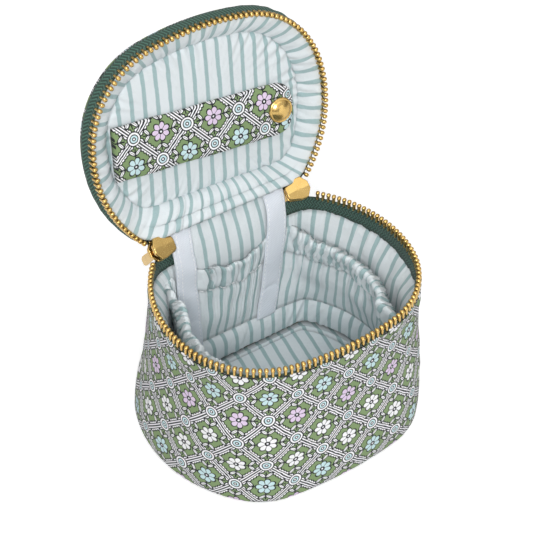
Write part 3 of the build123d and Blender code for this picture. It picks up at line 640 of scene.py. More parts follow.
def trellis_material(name):
    """Printed cotton: a diagonal trellis with rosettes where it crosses, and in each of its cells a
    daisy with four leafed sprigs, in white, aqua and lilac by turns."""
    cloth, tones = Cloth(name), colours()
    line, white, half, diagonal = tones.line, tones.white, PRINT_CELL / 2, 0.5**0.5
    fold = cloth.noise(500, 1.0) * 0.5 - 0.25
    u, v = (cloth.u + fold) / size("print_repeat"), (cloth.v + fold) / size("print_repeat")
    first_x, first_y = (u.fraction() - 0.5) * PRINT_CELL, (v.fraction() - 0.5) * PRINT_CELL
    second_x, second_y = (((place + 0.5).fraction() - 0.5) * PRINT_CELL for place in (u, v))
    is_first = ((abs(first_x) + abs(first_y)) - (abs(second_x) + abs(second_y))).below(0.0, 0.001)
    x = second_x + (first_x - second_x) * is_first
    y = second_y + (first_y - second_y) * is_first
    ax, ay = abs(x), abs(y)
    to_band = (half - (ax + ay)) * diagonal
    edge = 2.3 + abs(wave((ax - ay) * diagonal, 3.4)) * 0.6
    painted = cloth.paint(
        tones.ground,
        ((to_band - edge).below(0.0, PRINT_SOFT), line),
        ((to_band - (edge - 0.7)).below(0.0, PRINT_SOFT), white),
        ((to_band - 1.2).within(0.24, 0.06), line),
        (to_band.below(0.36, 0.08), line),
    )
    to_crossing = hypotenuse(ax - half, y).least(hypotenuse(x, ay - half))
    rings = ((3.7, line), (3.15, white), (2.3, line), (1.8, tones.aqua), (0.95, line), (0.45, white))
    painted = cloth.paint(painted, *((to_crossing.below(reach, PRINT_SOFT), tone) for reach, tone in rings))
    row_of_first, row_of_second = ((row.floor() * 0.5).fraction().below(0.25, 0.01) for row in (v, v + 0.5))
    flower = cloth.paint(
        white, (is_first * row_of_first, tones.aqua), ((1 - is_first) * row_of_second, tones.lilac)
    )
    stem = ax.below(0.34, 0.06) * ay.below(9.3, 0.2) + ay.below(0.34, 0.06) * ax.below(9.3, 0.2)
    painted = cloth.paint(painted, (stem.least(1.0), line))
    for far, near in ((ax, ay), (ay, ax)):
        lean_far = (far - 7.3) * 0.77 - (near - 1.6) * 0.64
        lean_near = (far - 7.3) * 0.64 + (near - 1.6) * 0.77
        leaf = hypotenuse(lean_near / 1.9, lean_far / 0.78)
        vein = lean_far.within(0.1, 0.05) * leaf.below(0.8, 0.1)
        painted = cloth.paint(painted, (leaf.below(1.42, 0.08), line), (leaf.below(0.84, 0.08), white), (vein, line))
    reach = hypotenuse(x, y)
    petal = abs((y.heading(x) * 3.5).sine())
    past_petals = reach - ((petal**0.55) * 2.1 + 2.3)
    painted = cloth.paint(
        painted,
        (past_petals.below(0.8, PRINT_SOFT), line),
        (past_petals.below(0.08, PRINT_SOFT), flower),
        (petal.below(0.22, 0.08) * reach.below(3.1, 0.3), line),
        (reach.below(1.35, 0.1), line),
        (reach.below(0.5, 0.08), white),
    )
    # painted shade: darker by the mesh's shade attribute at seams and folded edges; the noise is random tone
    tone = 1.04 - cloth.noise(120) * 0.08 - cloth.seam() * 0.12
    height = cloth.weave(0.38) * 0.1 + cloth.noise(150, 3.0, 0.55) * 0.9
    return cloth.finish(painted, tone, height, 0.5, 0.88, Sheen_Weight=0.04, Sheen_Roughness=0.5)


def binding_material(name):
    """Woven white tape: a fine diagonal twill with selvedges."""
    cloth, tones = Cloth(name), colours()
    twill = wave(cloth.u * 0.7 + cloth.v * 0.7, 0.62) * 0.5 + 0.5
    height = twill * 0.5 + cloth.noise(240, 3.0) * 0.8
    tint = cloth.paint(tones.binding, (twill * 0.35, tones.white))
    # painted shade: darker by the mesh's shade attribute along its stitch lines and at its foot; the noise is random
    # tone
    tone = 1.02 - cloth.noise(150) * 0.06 - cloth.seam() * 0.12
    return cloth.finish(tint, tone, height, 0.22, 0.85, Sheen_Weight=0.2, Sheen_Roughness=0.4)


def tape_material(name):
    """Zip tape: a herringbone weave whose diagonals turn over every few threads."""
    cloth, tones, column_width = Cloth(name), colours(), 3.4
    from_middle = abs((cloth.v / column_width).fraction() - 0.5)
    yarn = wave(cloth.u + from_middle * column_width * 0.9, 1.5) * 0.5 + 0.5
    turn = (from_middle - 0.25).within(0.03, 0.03)
    light = tuple(min(1.0, 4.2 * part) for part in tones.tape)
    tint = cloth.paint(tones.tape, (yarn * yarn * 0.8, light))
    # painted shade: much darker by the mesh's shade attribute where the tape goes under cloth; the turn lines are
    # the weave's pattern
    tone = 0.95 + cloth.noise(400) * 0.1 - turn * 0.12 - cloth.seam() * 0.45
    return cloth.finish(tint, tone, yarn - turn * 0.3, 0.2, 0.78, Sheen_Weight=0.1)


def thread_material(name):
    """White sewing thread with a fine twist."""
    cloth = Cloth(name, None)
    return cloth.finish(colours().white, None, cloth.noise(4000), 0.06, 0.7)


def metal_material(name):
    """Polished yellow metal with faint hand marks and fine scratches."""
    cloth, tones = Cloth(name, None), colours()
    deep = tuple(part * share for part, share in zip(tones.metal, (0.86, 0.82, 0.74)))
    tint = cloth.paint(tones.metal, (cloth.noise(140).below(0.5, 0.25), deep))
    rough = 0.22 + cloth.noise(1500) * 0.08
    return cloth.finish(tint, None, cloth.noise(260), 0.02, rough, Metallic=1.0)


def board_material(name):
    """Grey board with short fibres."""
    cloth = Cloth(name, None)
    fibres = cloth.noise(1800, 4.0, 0.7)
    tint = cloth.paint(srgb(120, 112, 100), (fibres, srgb(158, 150, 136)))
    return cloth.finish(tint, None, fibres, 0.1, 0.9)


def coat(obj, name, maker):
    """Gives a piece a material by name, made when it is first used."""
    obj.data.materials.clear()
    obj.data.materials.append(bpy.data.materials.get(name) or maker(name))


def dress(obj, material_name, maker, body, *nodes, slot):
    """Gives a piece its finish, its body, its slot and the nodes that it stands for."""
    coat(obj, material_name, maker)
    if body:
        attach(obj, body)
    if nodes:
        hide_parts(*nodes)
    return obj


def print_cloth(obj, body, *nodes):
    return dress(obj, "printed cotton", trellis_material, body, *nodes, slot="print_cloth")


def ticking(obj, body, *nodes):
    return dress(obj, "striped cotton", ticking_material, body, *nodes, slot="ticking_cloth")


def metal(obj, body, *nodes):
    return dress(obj, "yellow metal", metal_material, body, *nodes, slot="brass")


# Outer cloth


def wall_inset(height):
    """How far the wall is drawn in: a rounded foot, and a waist as a cubic through four heights."""
    waist = FOOT_ROUND_HEIGHT + WAIST_SHARE * (BAND_TOP - FOOT_ROUND_HEIGHT)
    belly = (FOOT_ROUND_HEIGHT + waist) / 2
    cubic = np.polyfit([FOOT_ROUND_HEIGHT, belly, waist, BAND_TOP], [0, WAIST_INSET / 4, WAIST_INSET, 0], 3)
    low = np.clip(1 - height / FOOT_ROUND_HEIGHT, 0, 1)
    foot = FOOT_ROUND_INSET * (1 - np.sqrt(1 - low**2))
    return np.where(height < FOOT_ROUND_HEIGHT, foot, np.polyval(cubic, height))


def wall_shape(height):
    share = np.maximum((height - FOOT_ROUND_HEIGHT) / (BAND_TOP - FOOT_ROUND_HEIGHT), 0)
    return tuple(low + (high - low) * share for low, high in zip(foot_shape(), rim_shape()))


def padded_out(run, height):
    """How far the padded wall swells and dips: broad waves, and puckers under the zip's seam."""
    swell = 0.45 * ripple(run, height, 3, 46) + 0.16 * ripple(run, height, 4, 17)
    puckers = 0.16 * wander(run, 5, 6.5) * ease(height, BAND_TOP - 9, BAND_TOP - 1)
    held = ease(height, 1.0, 14.0) * (1 - ease(height, BAND_TOP - 6, BAND_TOP))
    return swell * held + puckers


def folded_edge(top):
    """Profile over the outer cloth's folded edge: heights and how far in, as a half circle."""
    angle = np.linspace(0, np.pi, 7)
    radius = OUTER_CLOTH / 2
    return top - radius + radius * np.sin(angle), radius * (1 - np.cos(angle))


def make_outer_wall():
    """The tub's cloth band up to its folded edge, and the underside's panel as rings that draw in."""
    edge_z, edge_in = folded_edge(BAND_TOP)
    height = np.concatenate([steps((0, 5, 10), (5, edge_z[0], 64))[:-1], edge_z, [72.0]])[:, None]
    drawn = np.concatenate([np.zeros(72), edge_in, [OUTER_CLOTH]])[:, None]
    shape, inset = wall_shape(height), wall_inset(height)
    around = outline(shape, inset, 1.0)[4]
    t = np.linspace(-1, 1, 420)[None]
    share = t * (around - BACK_SEAM_X) / around
    run = outline(wall_shape(40.0), 0.0, share)[4]
    x, y, out_x, out_y, _ = outline(shape, inset, share)
    out = padded_out(run, height) * (1 - ease(np.abs(t), 0.95, 1.0)) - drawn
    # painted shade: darker along the folded top edge and at the foot, where the wall meets the floor
    seam = 1 - ease(np.abs(height - BAND_TOP), 0.4, 2.2) + 0.8 * (1 - ease(height, 0.0, 2.5))
    points = tub_points(x + out_x * out, y + out_y * out, height)
    wall = surface("tub_outer_cloth", points, run, height - 3.0 * (drawn > 0.5), seam)
    print_cloth(wall, "tub", "wall_band")
    inward = np.array([1.0, 0.985, 0.93, 0.8, 0.55, 0.0])[:, None]
    x, y = outline(foot_shape(), FOOT_ROUND_INSET, np.linspace(-1, 1, 241)[None])[:2]
    middle_y = FOOT_OVERHANG - size("foot_depth") / 2
    x, y = x * inward, middle_y + (y - middle_y) * inward
    height = np.array([0.25, 0.0, 0.0, 0.25, 0.5, 0.6])[:, None]
    under = surface("underside_cloth", tub_points(x, y, height), x, y, 0.0, True, (False, True), flip=1)
    print_cloth(under, "tub", "bottom_panel")


def lid_edge_start():
    """Depth at which the lid's side begins to round over to its top."""
    return size("lid_height") - LID_CROWN - LID_EDGE_R


def make_outer_back():
    """The back panel: up the tub's back, over the hinge and along the lid's back end."""
    hinge_z = size("base_height")
    low = steps((0, 5, 10), (5, hinge_z - HINGE_BEND, 50))[:-1, None]
    across = np.linspace(-1, 1, 61)[None]
    half = BACK_SEAM_X + SEAM_LAP
    x = across * half
    held = ease(low, 2, 12) * ease(hinge_z - low, 8, 16) * (1 - across**4)
    under_tape = np.minimum(low, BAND_TOP)
    back_y = wall_shape(under_tape)[7] - wall_inset(under_tape) - 0.12
    tub_part = tub_points(x, back_y + 0.35 * ripple(x + 0.0 * low, low, 13, 30) * held, low)
    corner, angle = hinge()[1:], open_angle()
    after = corner + np.array([math.sin(angle), math.cos(angle)]) * HINGE_BEND
    bend = curve(corner + np.array([0.0, -HINGE_BEND]), corner, after, 16)
    bend_part = np.stack(np.broadcast_arrays(x, bend[:, :1], bend[:, 1:]), -1)
    lid_part = lid_points(x, 0.12, np.linspace(5.8, lid_edge_start() + 0.1, 6)[:, None])
    points = np.concatenate([tub_part, bend_part, lid_part])
    run = run_along(points[:, 30])[:, None]
    # painted shade: darker along the side edges, where the panel meets the wall's cloth
    seam = 1 - ease(half - np.abs(points[..., 0]), 0.4, 2.0)
    panel = surface("back_outer_cloth", points, points[..., 0], run, seam, flip=1)
    thicken(panel, OUTER_CLOTH)
    print_cloth(panel, None, "back_panel", "lid_back_end")
    blend_over_hinge(panel)


def blend_over_hinge(obj):
    """Lets a piece bend between the tub and the lid, over a reach on both sides of the hinge."""
    corner = Vector(hinge() * MM)
    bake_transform(obj)


def make_lid_outer():
    """The lid's cloth: a band from its folded edge to the rounding, and a top crowned as a sine."""
    edge_start = lid_edge_start()
    edge_z, edge_in = folded_edge(0.0)
    depth = np.concatenate([[8.2], -edge_z[::-1] + LID_CLOTH_START, np.linspace(7.5, edge_start, 5)[1:]])[:, None]
    out = -np.concatenate([[OUTER_CLOTH], edge_in[::-1], np.zeros(4)])[:, None]
    share_end = share_at_back(0.0, BACK_SEAM_X)
    x, y, out_x, out_y, run = outline(rim_shape(), 0.0, np.linspace(-share_end, share_end, 380)[None])
    depth = depth + 0.3 * wander(run, 21, 9) * (1 - ease(depth, LID_CLOTH_START, edge_start))
    # painted shade: darker at the folded edge next to the zip tape
    seam = 1 - ease(depth - LID_CLOTH_START, 0.0, 1.2)
    points = lid_points(x + out_x * out, y + out_y * out, depth)
    print_cloth(surface("lid_outer_cloth", points, run, 90 + depth, seam, flip=1), "lid", "lid_band")

    turn = np.linspace(0, np.pi / 2, 14)
    flat = steps((LID_EDGE_R, LID_FLAT_STARTS, 14), (LID_FLAT_STARTS, LID_RINGS_END, 9))[1:]
    inset = np.concatenate([LID_EDGE_R * (1 - np.cos(turn)), flat])[:, None]
    crown = np.sin(np.pi / 2 * np.clip((flat - LID_EDGE_R) / (LID_FLAT_STARTS - LID_EDGE_R), 0, 1))
    depth = np.concatenate([edge_start + LID_EDGE_R * np.sin(turn), size("lid_height") - LID_CROWN + crown])[:, None]
    x, y = outline(rim_shape(), inset, np.linspace(-1, 1, 361)[None])[:2]
    depth = depth + 0.25 * ripple(x, y, 23, 30) * ease(inset, 5, 14)
    depth[0] -= 0.15
    points = lid_points(x, y, depth)
    points = np.concatenate([points, np.broadcast_to(points[-1].mean(0), points[-1:].shape)])
    x, y = np.concatenate([x, x[-1:] * 0]), np.concatenate([y, y[-1:] * 0 + y[-1].mean()])
    # painted shade: darker along the top's rim, where it meets the band
    seam = np.concatenate([1 - ease(inset, 0.1, 1.2), [[0.0]]])
    print_cloth(surface("lid_top_cloth", points, x + 3, y, seam, True, (False, True), flip=1), "lid", "lid_panel")


# Zip


def tape_faces(body, height):
    """Outer and inner face of a tape as distances in: round its bead at the teeth and, on the lid,
    out of the slit and over the cloth's edge."""
    top = TAPE_TOP if body == "tub" else TOOTH_HEIGHT - TOOTH_REACH
    from_top = np.abs(height - top)
    bead = 0.35 * (1 - ease(from_top, 0.0, 1.1))
    closing = np.sqrt(np.clip(1 - (1 - np.clip(from_top / 0.6, 0, 1)) ** 2, 0, 1))
    half = TAPE_THICKNESS / 2
    middle, spread = OUTER_CLOTH + half, (half + bead) * closing
    faces = [middle - spread, middle + spread]
    if body == "tub":
        return faces
    over = ease(height, LID_CLOTH_START - 2.5, LID_CLOTH_START)
    rounding = np.clip(height - lid_edge_start(), 0, LID_EDGE_R)
    rounded = LID_EDGE_R - np.sqrt(LID_EDGE_R**2 - rounding**2)
    return [face + (rounded - lap - face) * over for face, lap in zip(faces, (0.45, 0.1))]


def make_tapes():
    """The zip's tapes, as closed strips whose inner edge is bound by the teeth."""
    end = share_at_back(OUTER_CLOTH, BACK_SEAM_X - 5.0)
    share = np.linspace(-end, end, 400)[None]
    run = outline(rim_shape(), 2.0, share)[4]
    for body, low, top in (("tub", TAPE_BOTTOM, TAPE_TOP), ("lid", LID_TAPE_EDGE, TOOTH_HEIGHT - TOOTH_REACH)):
        height = np.linspace(low, top, 19)[:, None]
        sway = 0.1 * wander(run, 34, 11) * ease(np.abs(height - top), 1.0, 4.0)
        if body == "tub":
            under = np.minimum(height, BAND_TOP)
            shape, lean = wall_shape(under), np.where(height > BAND_TOP, 0.0, wall_inset(under))
            points_of, shown, cloth_edge, flip = tub_points, height - LINING_TOP, BAND_TOP, None
        else:
            shape, lean = rim_shape(), 0.0
            points_of, shown, cloth_edge, flip = lid_points, LID_LINING_START - height, LID_TAPE_EDGE, 0
        x, y, out_x, out_y, _ = outline(shape, lean, share)
        outer, inner = (
            points_of(x + out_x * (sway - inset), y + out_y * (sway - inset), height)
            for inset in tape_faces(body, height)
        )
        points, v = np.concatenate([inner, outer[::-1]]), np.concatenate([height, height[::-1]])
        # painted shade: darker where the tape goes under the lining and under the cloth's folded edge
        hidden = 1 - ease(np.abs(height - cloth_edge), 0.1, 1.0)
        seam = np.concatenate([1 - ease(shown, 0.0, 1.6), hidden[::-1]])
        tape = surface(body + "_zip_tape", points, run, v, seam, flip=flip)
        dress(tape, "zip tape", tape_material, body, body + "_tape", slot="zip_tape")


def tooth_shares(first):
    """Run shares of the teeth at an even pitch, from the middle of the front to the sliders."""
    total = half_length(rim_shape(), TOOTH_INSET)
    pitch = size("tooth_pitch")
    last = total - SLIDER_TAIL_X - SLIDER_LENGTH - pitch / 2
    runs = np.arange(first, last / pitch) * pitch
    return np.unique(np.round(np.concatenate([-runs, runs]) / total, 9))


def make_teeth():
    """Teeth that clamp the tape's bead: two legs, a neck and a rounded head, as ten-sided rings."""
    levels = [
        (-0.9, 0.3, 0.8, 0.8),
        (-0.75, 0.55, 1.08, 0.8),
        (0.1, 0.66, 1.16, 0.8),
        (1.1, 0.68, 1.14, 0.85),
        (1.6, 0.68, 1.1, 0.9),
        (2.1, 0.92, 1.2, 0.9),
        (2.7, 0.96, 1.18, 0.95),
        (3.1, 0.8, 0.95, 1.0),
        (3.33, 0.45, 0.52, 1.0),
        (3.4, 0.15, 0.2, 1.0),
    ]
    template, faces = ringed(levels, 10)
    for body, first, up in (("tub", 0.5, 1), ("lid", 0.0, -1)):
        x, y, out_x, out_y, _ = outline(rim_shape(), TOOTH_INSET, tooth_shares(first))
        flat = np.zeros_like(x)
        axes = [(-up * out_y, up * out_x, flat), (out_x, out_y, flat), (flat, flat, flat + up)]
        if body == "tub":
            centres = tub_points(x, y, TAPE_TOP)
            axes = [np.stack(axis, -1) for axis in axes]
        else:
            centres = lid_points(x, y, TOOTH_HEIGHT - TOOTH_REACH)
            axes = [lid_directions(*axis) for axis in axes]
        teeth = repeated(body + "_zip_teeth", template, faces, centres, np.stack(axes, 1))
        metal(teeth, body, body + "_teeth")


def slab(edge_of, out_of, thick, origin, axes):
    """A closed plate from a boundary curve: rings run in from the rim to a pole on each face.

    edge_of gives the boundary's x and y at angles, out_of the upper face's height at a place.
    """
    rim_x, rim_y = edge_of(np.linspace(0, 2 * np.pi, 97))
    inward = np.array([0.0, 0.3, 0.6, 0.85, 0.93, 0.95, 0.985, 1.0, 1.0, 0.985, 0.95, 0.93, 0.6, 0.0])[:, None]
    drop = np.array([0.0, 0.0, 0.0, 0.0, 0.0, 0.01, 0.12, 0.35, 0.65, 0.88, 0.99, 1.0, 1.0, 1.0])[:, None]
    x, y = rim_x * inward, rim_y * inward
    points = origin + np.stack([x, y, out_of(x, y) * (1 - drop) - thick * drop], -1) @ axes
    return surface("plate", points, x, y, wrap=True, poles=(True, True))


def rod(path, radius, around=14):
    """A round bar along a path of points, closed at both ends by a pole."""
    heading = unit(np.gradient(path, axis=0))
    side = unit(np.cross(heading, np.array([0.31, 0.27, 0.91])))
    other = np.cross(heading, side)
    angle = np.linspace(0, 2 * np.pi, around + 1)[None, :, None]
    points = path[:, None] + (np.cos(angle) * side[:, None] + np.sin(angle) * other[:, None]) * radius
    ends = [np.broadcast_to(path[k], points[:1].shape) for k in (0, -1)]
    points = np.concatenate([ends[0], points, ends[1]])
    return surface("rod", points, 0.0, 0.0, wrap=True, poles=(True, True), flip=1)


def joined(name, parts):
    """Joins several meshes into one piece."""
    vertices, faces = [], []
    for part in parts:
        co = np.empty(len(part.data.vertices) * 3, np.float32)
        part.data.vertices.foreach_get("co", co)
        faces += [[len(vertices) + i for i in face.vertices] for face in part.data.polygons]
        vertices += co.reshape(-1, 3).tolist()
        bpy.data.objects.remove(part)
    return placed(name, faced(name, np.array(vertices) / MM, faces))


def slider_axes(side):
    """A slider's middle and axes: x to its mouth, y across the zip, z out through its outer plate."""
    share = side * share_at_back(TOOTH_INSET, SLIDER_TAIL_X + SLIDER_LENGTH / 2)
    x, y, out_x, out_y, _ = (float(values[0]) for values in outline(rim_shape(), TOOTH_INSET, np.array([share])))
    half_open = open_angle() / 2
    out = turned_points(out_x, out_y, 0.0, half_open) - hinge()
    mouth = turned_points(out_y * side, -out_x * side, 0.0, half_open) - hinge()
    return turned_points(x, y, 0.0, half_open), np.stack([mouth, np.cross(out, mouth), out])


def on_square(angle):
    """Places at angles on the boundary of a square from -1 to 1."""
    cosine, sine = np.cos(angle), np.sin(angle)
    reach = np.maximum(np.abs(cosine), np.abs(sine))
    return cosine / reach, sine / reach


def plate_edge(angle):
    """Boundary of a slider's plate: a narrow straight tail, widening to shoulders with cut corners."""
    s, t = on_square(angle)
    half = 3.1 + 1.8 * np.clip((s + 1) / 1.3, 0, 1)
    mouth = PLATE_HALF - 2.3 * np.clip((np.abs(t) - 0.35) / 0.65, 0, 1)
    tail = -PLATE_HALF + 0.5 * t**6
    return tail + (mouth - tail) * (s + 1) / 2, t * half


def plate_crown(x, y):
    """Height of a slider's plate: two flat facets that meet in a crease along it."""
    return 0.3 + 0.95 * (1 - np.abs(y + 0.5) / 5.4)


def make_sliders():
    """Two pressed plates with rolled edges on a post, a bail on the outer one and a pull."""
    rail_x = np.linspace(-4.8, 3.4, 24)
    rail_y = 3.6 + 1.3 * ease(rail_x / PLATE_HALF, -1.0, 0.25) - 0.6
    turn = np.linspace(0, np.pi, 25)
    bail = np.stack([0.0 * turn, 2.9 * np.cos(turn), 2.4 + 2.3 * np.sin(turn) ** 0.6], -1)

    def post_edge(angle):
        return 2.0 + 1.7 * np.cos(angle), 1.3 * np.sin(angle)

    for side, name in ((-1, "left"), (1, "right")):
        origin, axes = slider_axes(side)
        out = axes[2] * PLATE_OUT
        parts = [
            slab(plate_edge, plate_crown, PLATE_THICKNESS, origin + out, axes),
            slab(plate_edge, plate_crown, PLATE_THICKNESS, origin - out, axes * np.array([[1], [-1], [-1]])),
            slab(post_edge, lambda x, y: 1.6 + 0 * x, 1.6, origin, axes),
        ]
        for edge, face in ((-1, -1), (-1, 1), (1, -1), (1, 1)):
            rail = np.stack([rail_x, rail_y * edge, np.full(24, face * 1.4)], -1)
            parts.append(rod(origin + rail @ axes, RAIL_R))
        parts.append(rod(origin + bail @ axes, BAIL_R))
        metal(joined(name + "_slider_body", parts), name + "_slider", name + "_slider")
        make_pull(name, origin, axes)


def make_pull(name, origin, axes):
    """A tapered tag with a rounded eye, hanging from the bail's bar."""
    along, out = axes[1], axes[2]
    pivot = origin + out * BAIL_OUT
    up = unit(np.array([0, 0, 1.0]) - along * along[2])
    facing = np.cross(along, up)
    if np.dot(facing, out) < 0:
        along, facing = -along, -facing
    tag_axes = np.stack([along, up, facing])
    turn = np.linspace(0, 2 * np.pi, 40)
    eye = np.stack([np.zeros(40), np.cos(turn) * EYE_BEND, np.sin(turn) * EYE_BEND], -1)

    def tag_edge(angle):
        s, t = on_square(angle)
        half = 2.05 + 0.25 * ease(-t, -0.6, 0.9) - 0.6 * ease(np.abs(t), 0.7, 1.0) ** 2
        return s * half * (1 - 0.1 * np.abs(t) ** 8), TAG_HALF * t * (1 - 0.04 * np.abs(s) ** 6)

    def tag_face(x, y):
        return TAG_THICKNESS - 0.12 * (y / TAG_HALF) ** 2

    parts = [slab(tag_edge, tag_face, TAG_THICKNESS, pivot - up * TAG_DROP, tag_axes)]
    for step in np.linspace(-1.7, 1.7, 7):
        parts.append(rod(pivot + (eye + [step, 0, 0]) @ tag_axes, EYE_R, 10))
    metal(joined(name + "_pull_tag", parts), name + "_pull", name + "_pull")


# Lining of the tub


def back_face(height):
    """How far in the back lining's face lies at a height: it leans out towards the hinge."""
    return BACK_INSET - BACK_LEAN * np.clip((height - POCKET_FOOT + 1) / (BACK_TURN - POCKET_FOOT + 1), 0, 1)


def make_wall_lining():
    """Padded walls between the bindings: bulging in, then easing out to a puckered seam on the tape."""
    rise = steps((POCKET_FOOT - 1.5, 56, 40), (56, LINING_TOP, 34))[:, None]
    total = half_length(rim_shape(), WALL_INSET)
    start, stop = -(total + binding_middle(-1, rise)) / total, (total - binding_middle(1, rise)) / total
    share = start + (stop - start) * np.linspace(0, 1, 560)[None]
    run = share * total
    lift = np.clip((rise - 51.0) / (LINING_TOP - 51.0), 0, 1)
    at_back = ease(np.abs(share), 0.72, 0.82)
    near_top = ease(rise, LINING_TOP - 9.0, LINING_TOP - 0.8)
    upright = WALL_INSET + (back_face(rise) - WALL_INSET) * at_back
    inset = upright - (upright - 1.5 - 1.2 * at_back) * lift ** (2.1 + 2.0 * at_back)
    inset = inset + 0.2 * wander(run, 41, 2.8) * near_top * (1 - ease(rise, LINING_TOP - 0.8, LINING_TOP))
    creases = 0.55 * wander(run + 0.25 * rise, 44, 15) * (0.35 + 0.65 * ease(rise, 45, 62))
    inset = inset + creases * (1 - 0.7 * near_top) + 0.3 * ripple(run, rise, 42, 22) * (1 - near_top)
    inset = inset - (1 - ease(rise, POCKET_FOOT - 1.5, POCKET_FOOT + 2.5))
    x, y = outline(rim_shape(), inset, share)[:2]
    uneven = (0.1 * wander(run, 43, 2.8) + 0.3 * wander(run, 45, 34)) * ease(rise, LINING_TOP - 4, LINING_TOP)
    # painted shade: darker along the puckered top seam on the tape
    seam = 1 - ease(LINING_TOP - rise, 0.1, 1.6)
    wall = surface("wall_lining_cloth", tub_points(x, y, rise + uneven), run, rise, seam, flip=1)
    thicken(wall, LINING_CLOTH)
    ticking(wall, "tub", "wall_lining", "wall_foam")


def make_foot_roll():
    """The padded roll at the foot of the lining, between the floor's seam and the pockets' seam."""
    share = np.linspace(-1, 1, 621)[None]
    run = share * half_length(rim_shape(), WALL_INSET + 3)
    turn = np.linspace(-0.98, 1.0, 30)[:, None] * np.pi / 2
    around = np.abs(share)
    corner = bell(around, 0.75, 0.045) + bell(around, 0.38, 0.06)
    reach = ROLL_REACH * (1 + 0.07 * wander(run, 51, 34) - 0.12 * corner)
    height = ROLL_MIDDLE + ROLL_HALF * np.sin(turn) + 0.3 * wander(run, 53, 16) * np.cos(turn)
    inset = BACK_INSET + (WALL_INSET - BACK_INSET) * (1 - ease(around, 0.72, 0.8)) - 0.4
    inset = inset + reach * np.maximum(np.cos(turn), 0) ** 0.7 + 1.6 * ease(-turn, 0.2, 1.5)
    inset = inset + (0.18 + 0.5 * corner) * wander(run + 3.0 * np.sin(turn), 54, 6.0) * np.cos(turn) ** 0.5
    inset = inset + 0.22 * wander(run, 55, 4.2) * ease(np.abs(turn), 0.9, 1.35)
    x, y = outline(rim_shape(), inset, share)[:2]
    # painted shade: darker at the roll's upper and lower seams
    seam = ease(np.abs(turn), 1.2, 1.55)
    roll = surface("foot_roll", tub_points(x, y, height), run, 7.0 * turn, seam, True, flip=1)
    thicken(roll, LINING_CLOTH)
    ticking(roll, "tub", "wall_lining")


def make_floor():
    """The floor's cushion: nearly flat, with a piped edge where it is sewn under the roll."""
    x, y, _, _, run = outline(rim_shape(), WALL_INSET + 1.0, np.linspace(-1, 1, 421)[None])
    inward = np.concatenate([1 - 0.2 * np.linspace(0, 1, 44), np.linspace(0.78, 0.0, 24)])[:, None]
    x, y = x * inward, MIDDLE_Y + (y - MIDDLE_Y) * inward
    from_edge = (1 - inward) * FLOOR_HALF
    height = FLOOR_TOP - FLOOR_DROP * (1 - ease(from_edge, 0.5, 7.0))
    height = height - 0.9 * bell(from_edge, FLOOR_GROOVE, 0.8) + 0.5 * bell(from_edge, 4.6, 1.0)
    height = height + 0.3 * ripple(x, y, 61, 26) * ease(from_edge, 5, 14)
    height = height + 0.14 * wander(run, 62, 6) * bell(from_edge, 6, 2.0)
    u, v = rotated(x, y, FLOOR_TILT)
    # painted shade: darker at the edge under the roll and in the piped groove
    seam = np.clip(1 - ease(from_edge, 0.0, 3.0) + bell(from_edge, FLOOR_GROOVE, 0.7), 0, 1)
    floor = surface("floor_cushion", tub_points(x, y, height), u, v, seam, True, (True, False), flip=0)
    ticking(floor, "tub", "floor_lining", "floor_pad")


# Pockets


def gathers(t, seed, count):
    """Folds of gathered cloth, between -1 and 1: uneven rounded ridges with sharper valleys."""
    phase = np.pi * (count * t + 0.5 * wander(t, seed, 0.23) + 0.2 * wander(t, seed + 1, 0.09))
    return 2 * np.abs(np.cos(phase)) ** 0.85 - 1


def pocket_ends(side, height, total):
    """Run shares between which a pocket lies, just under the bindings' edges."""
    under = size("binding_width") / 2 - 3.4
    if side != 0:
        return (total - side * binding_middle(side, height) - under) / total, POCKET_FRONT / total
    right, left = (total - binding_middle(end, height) for end in (1, -1))
    return (right + under) / total, (left - under) / total


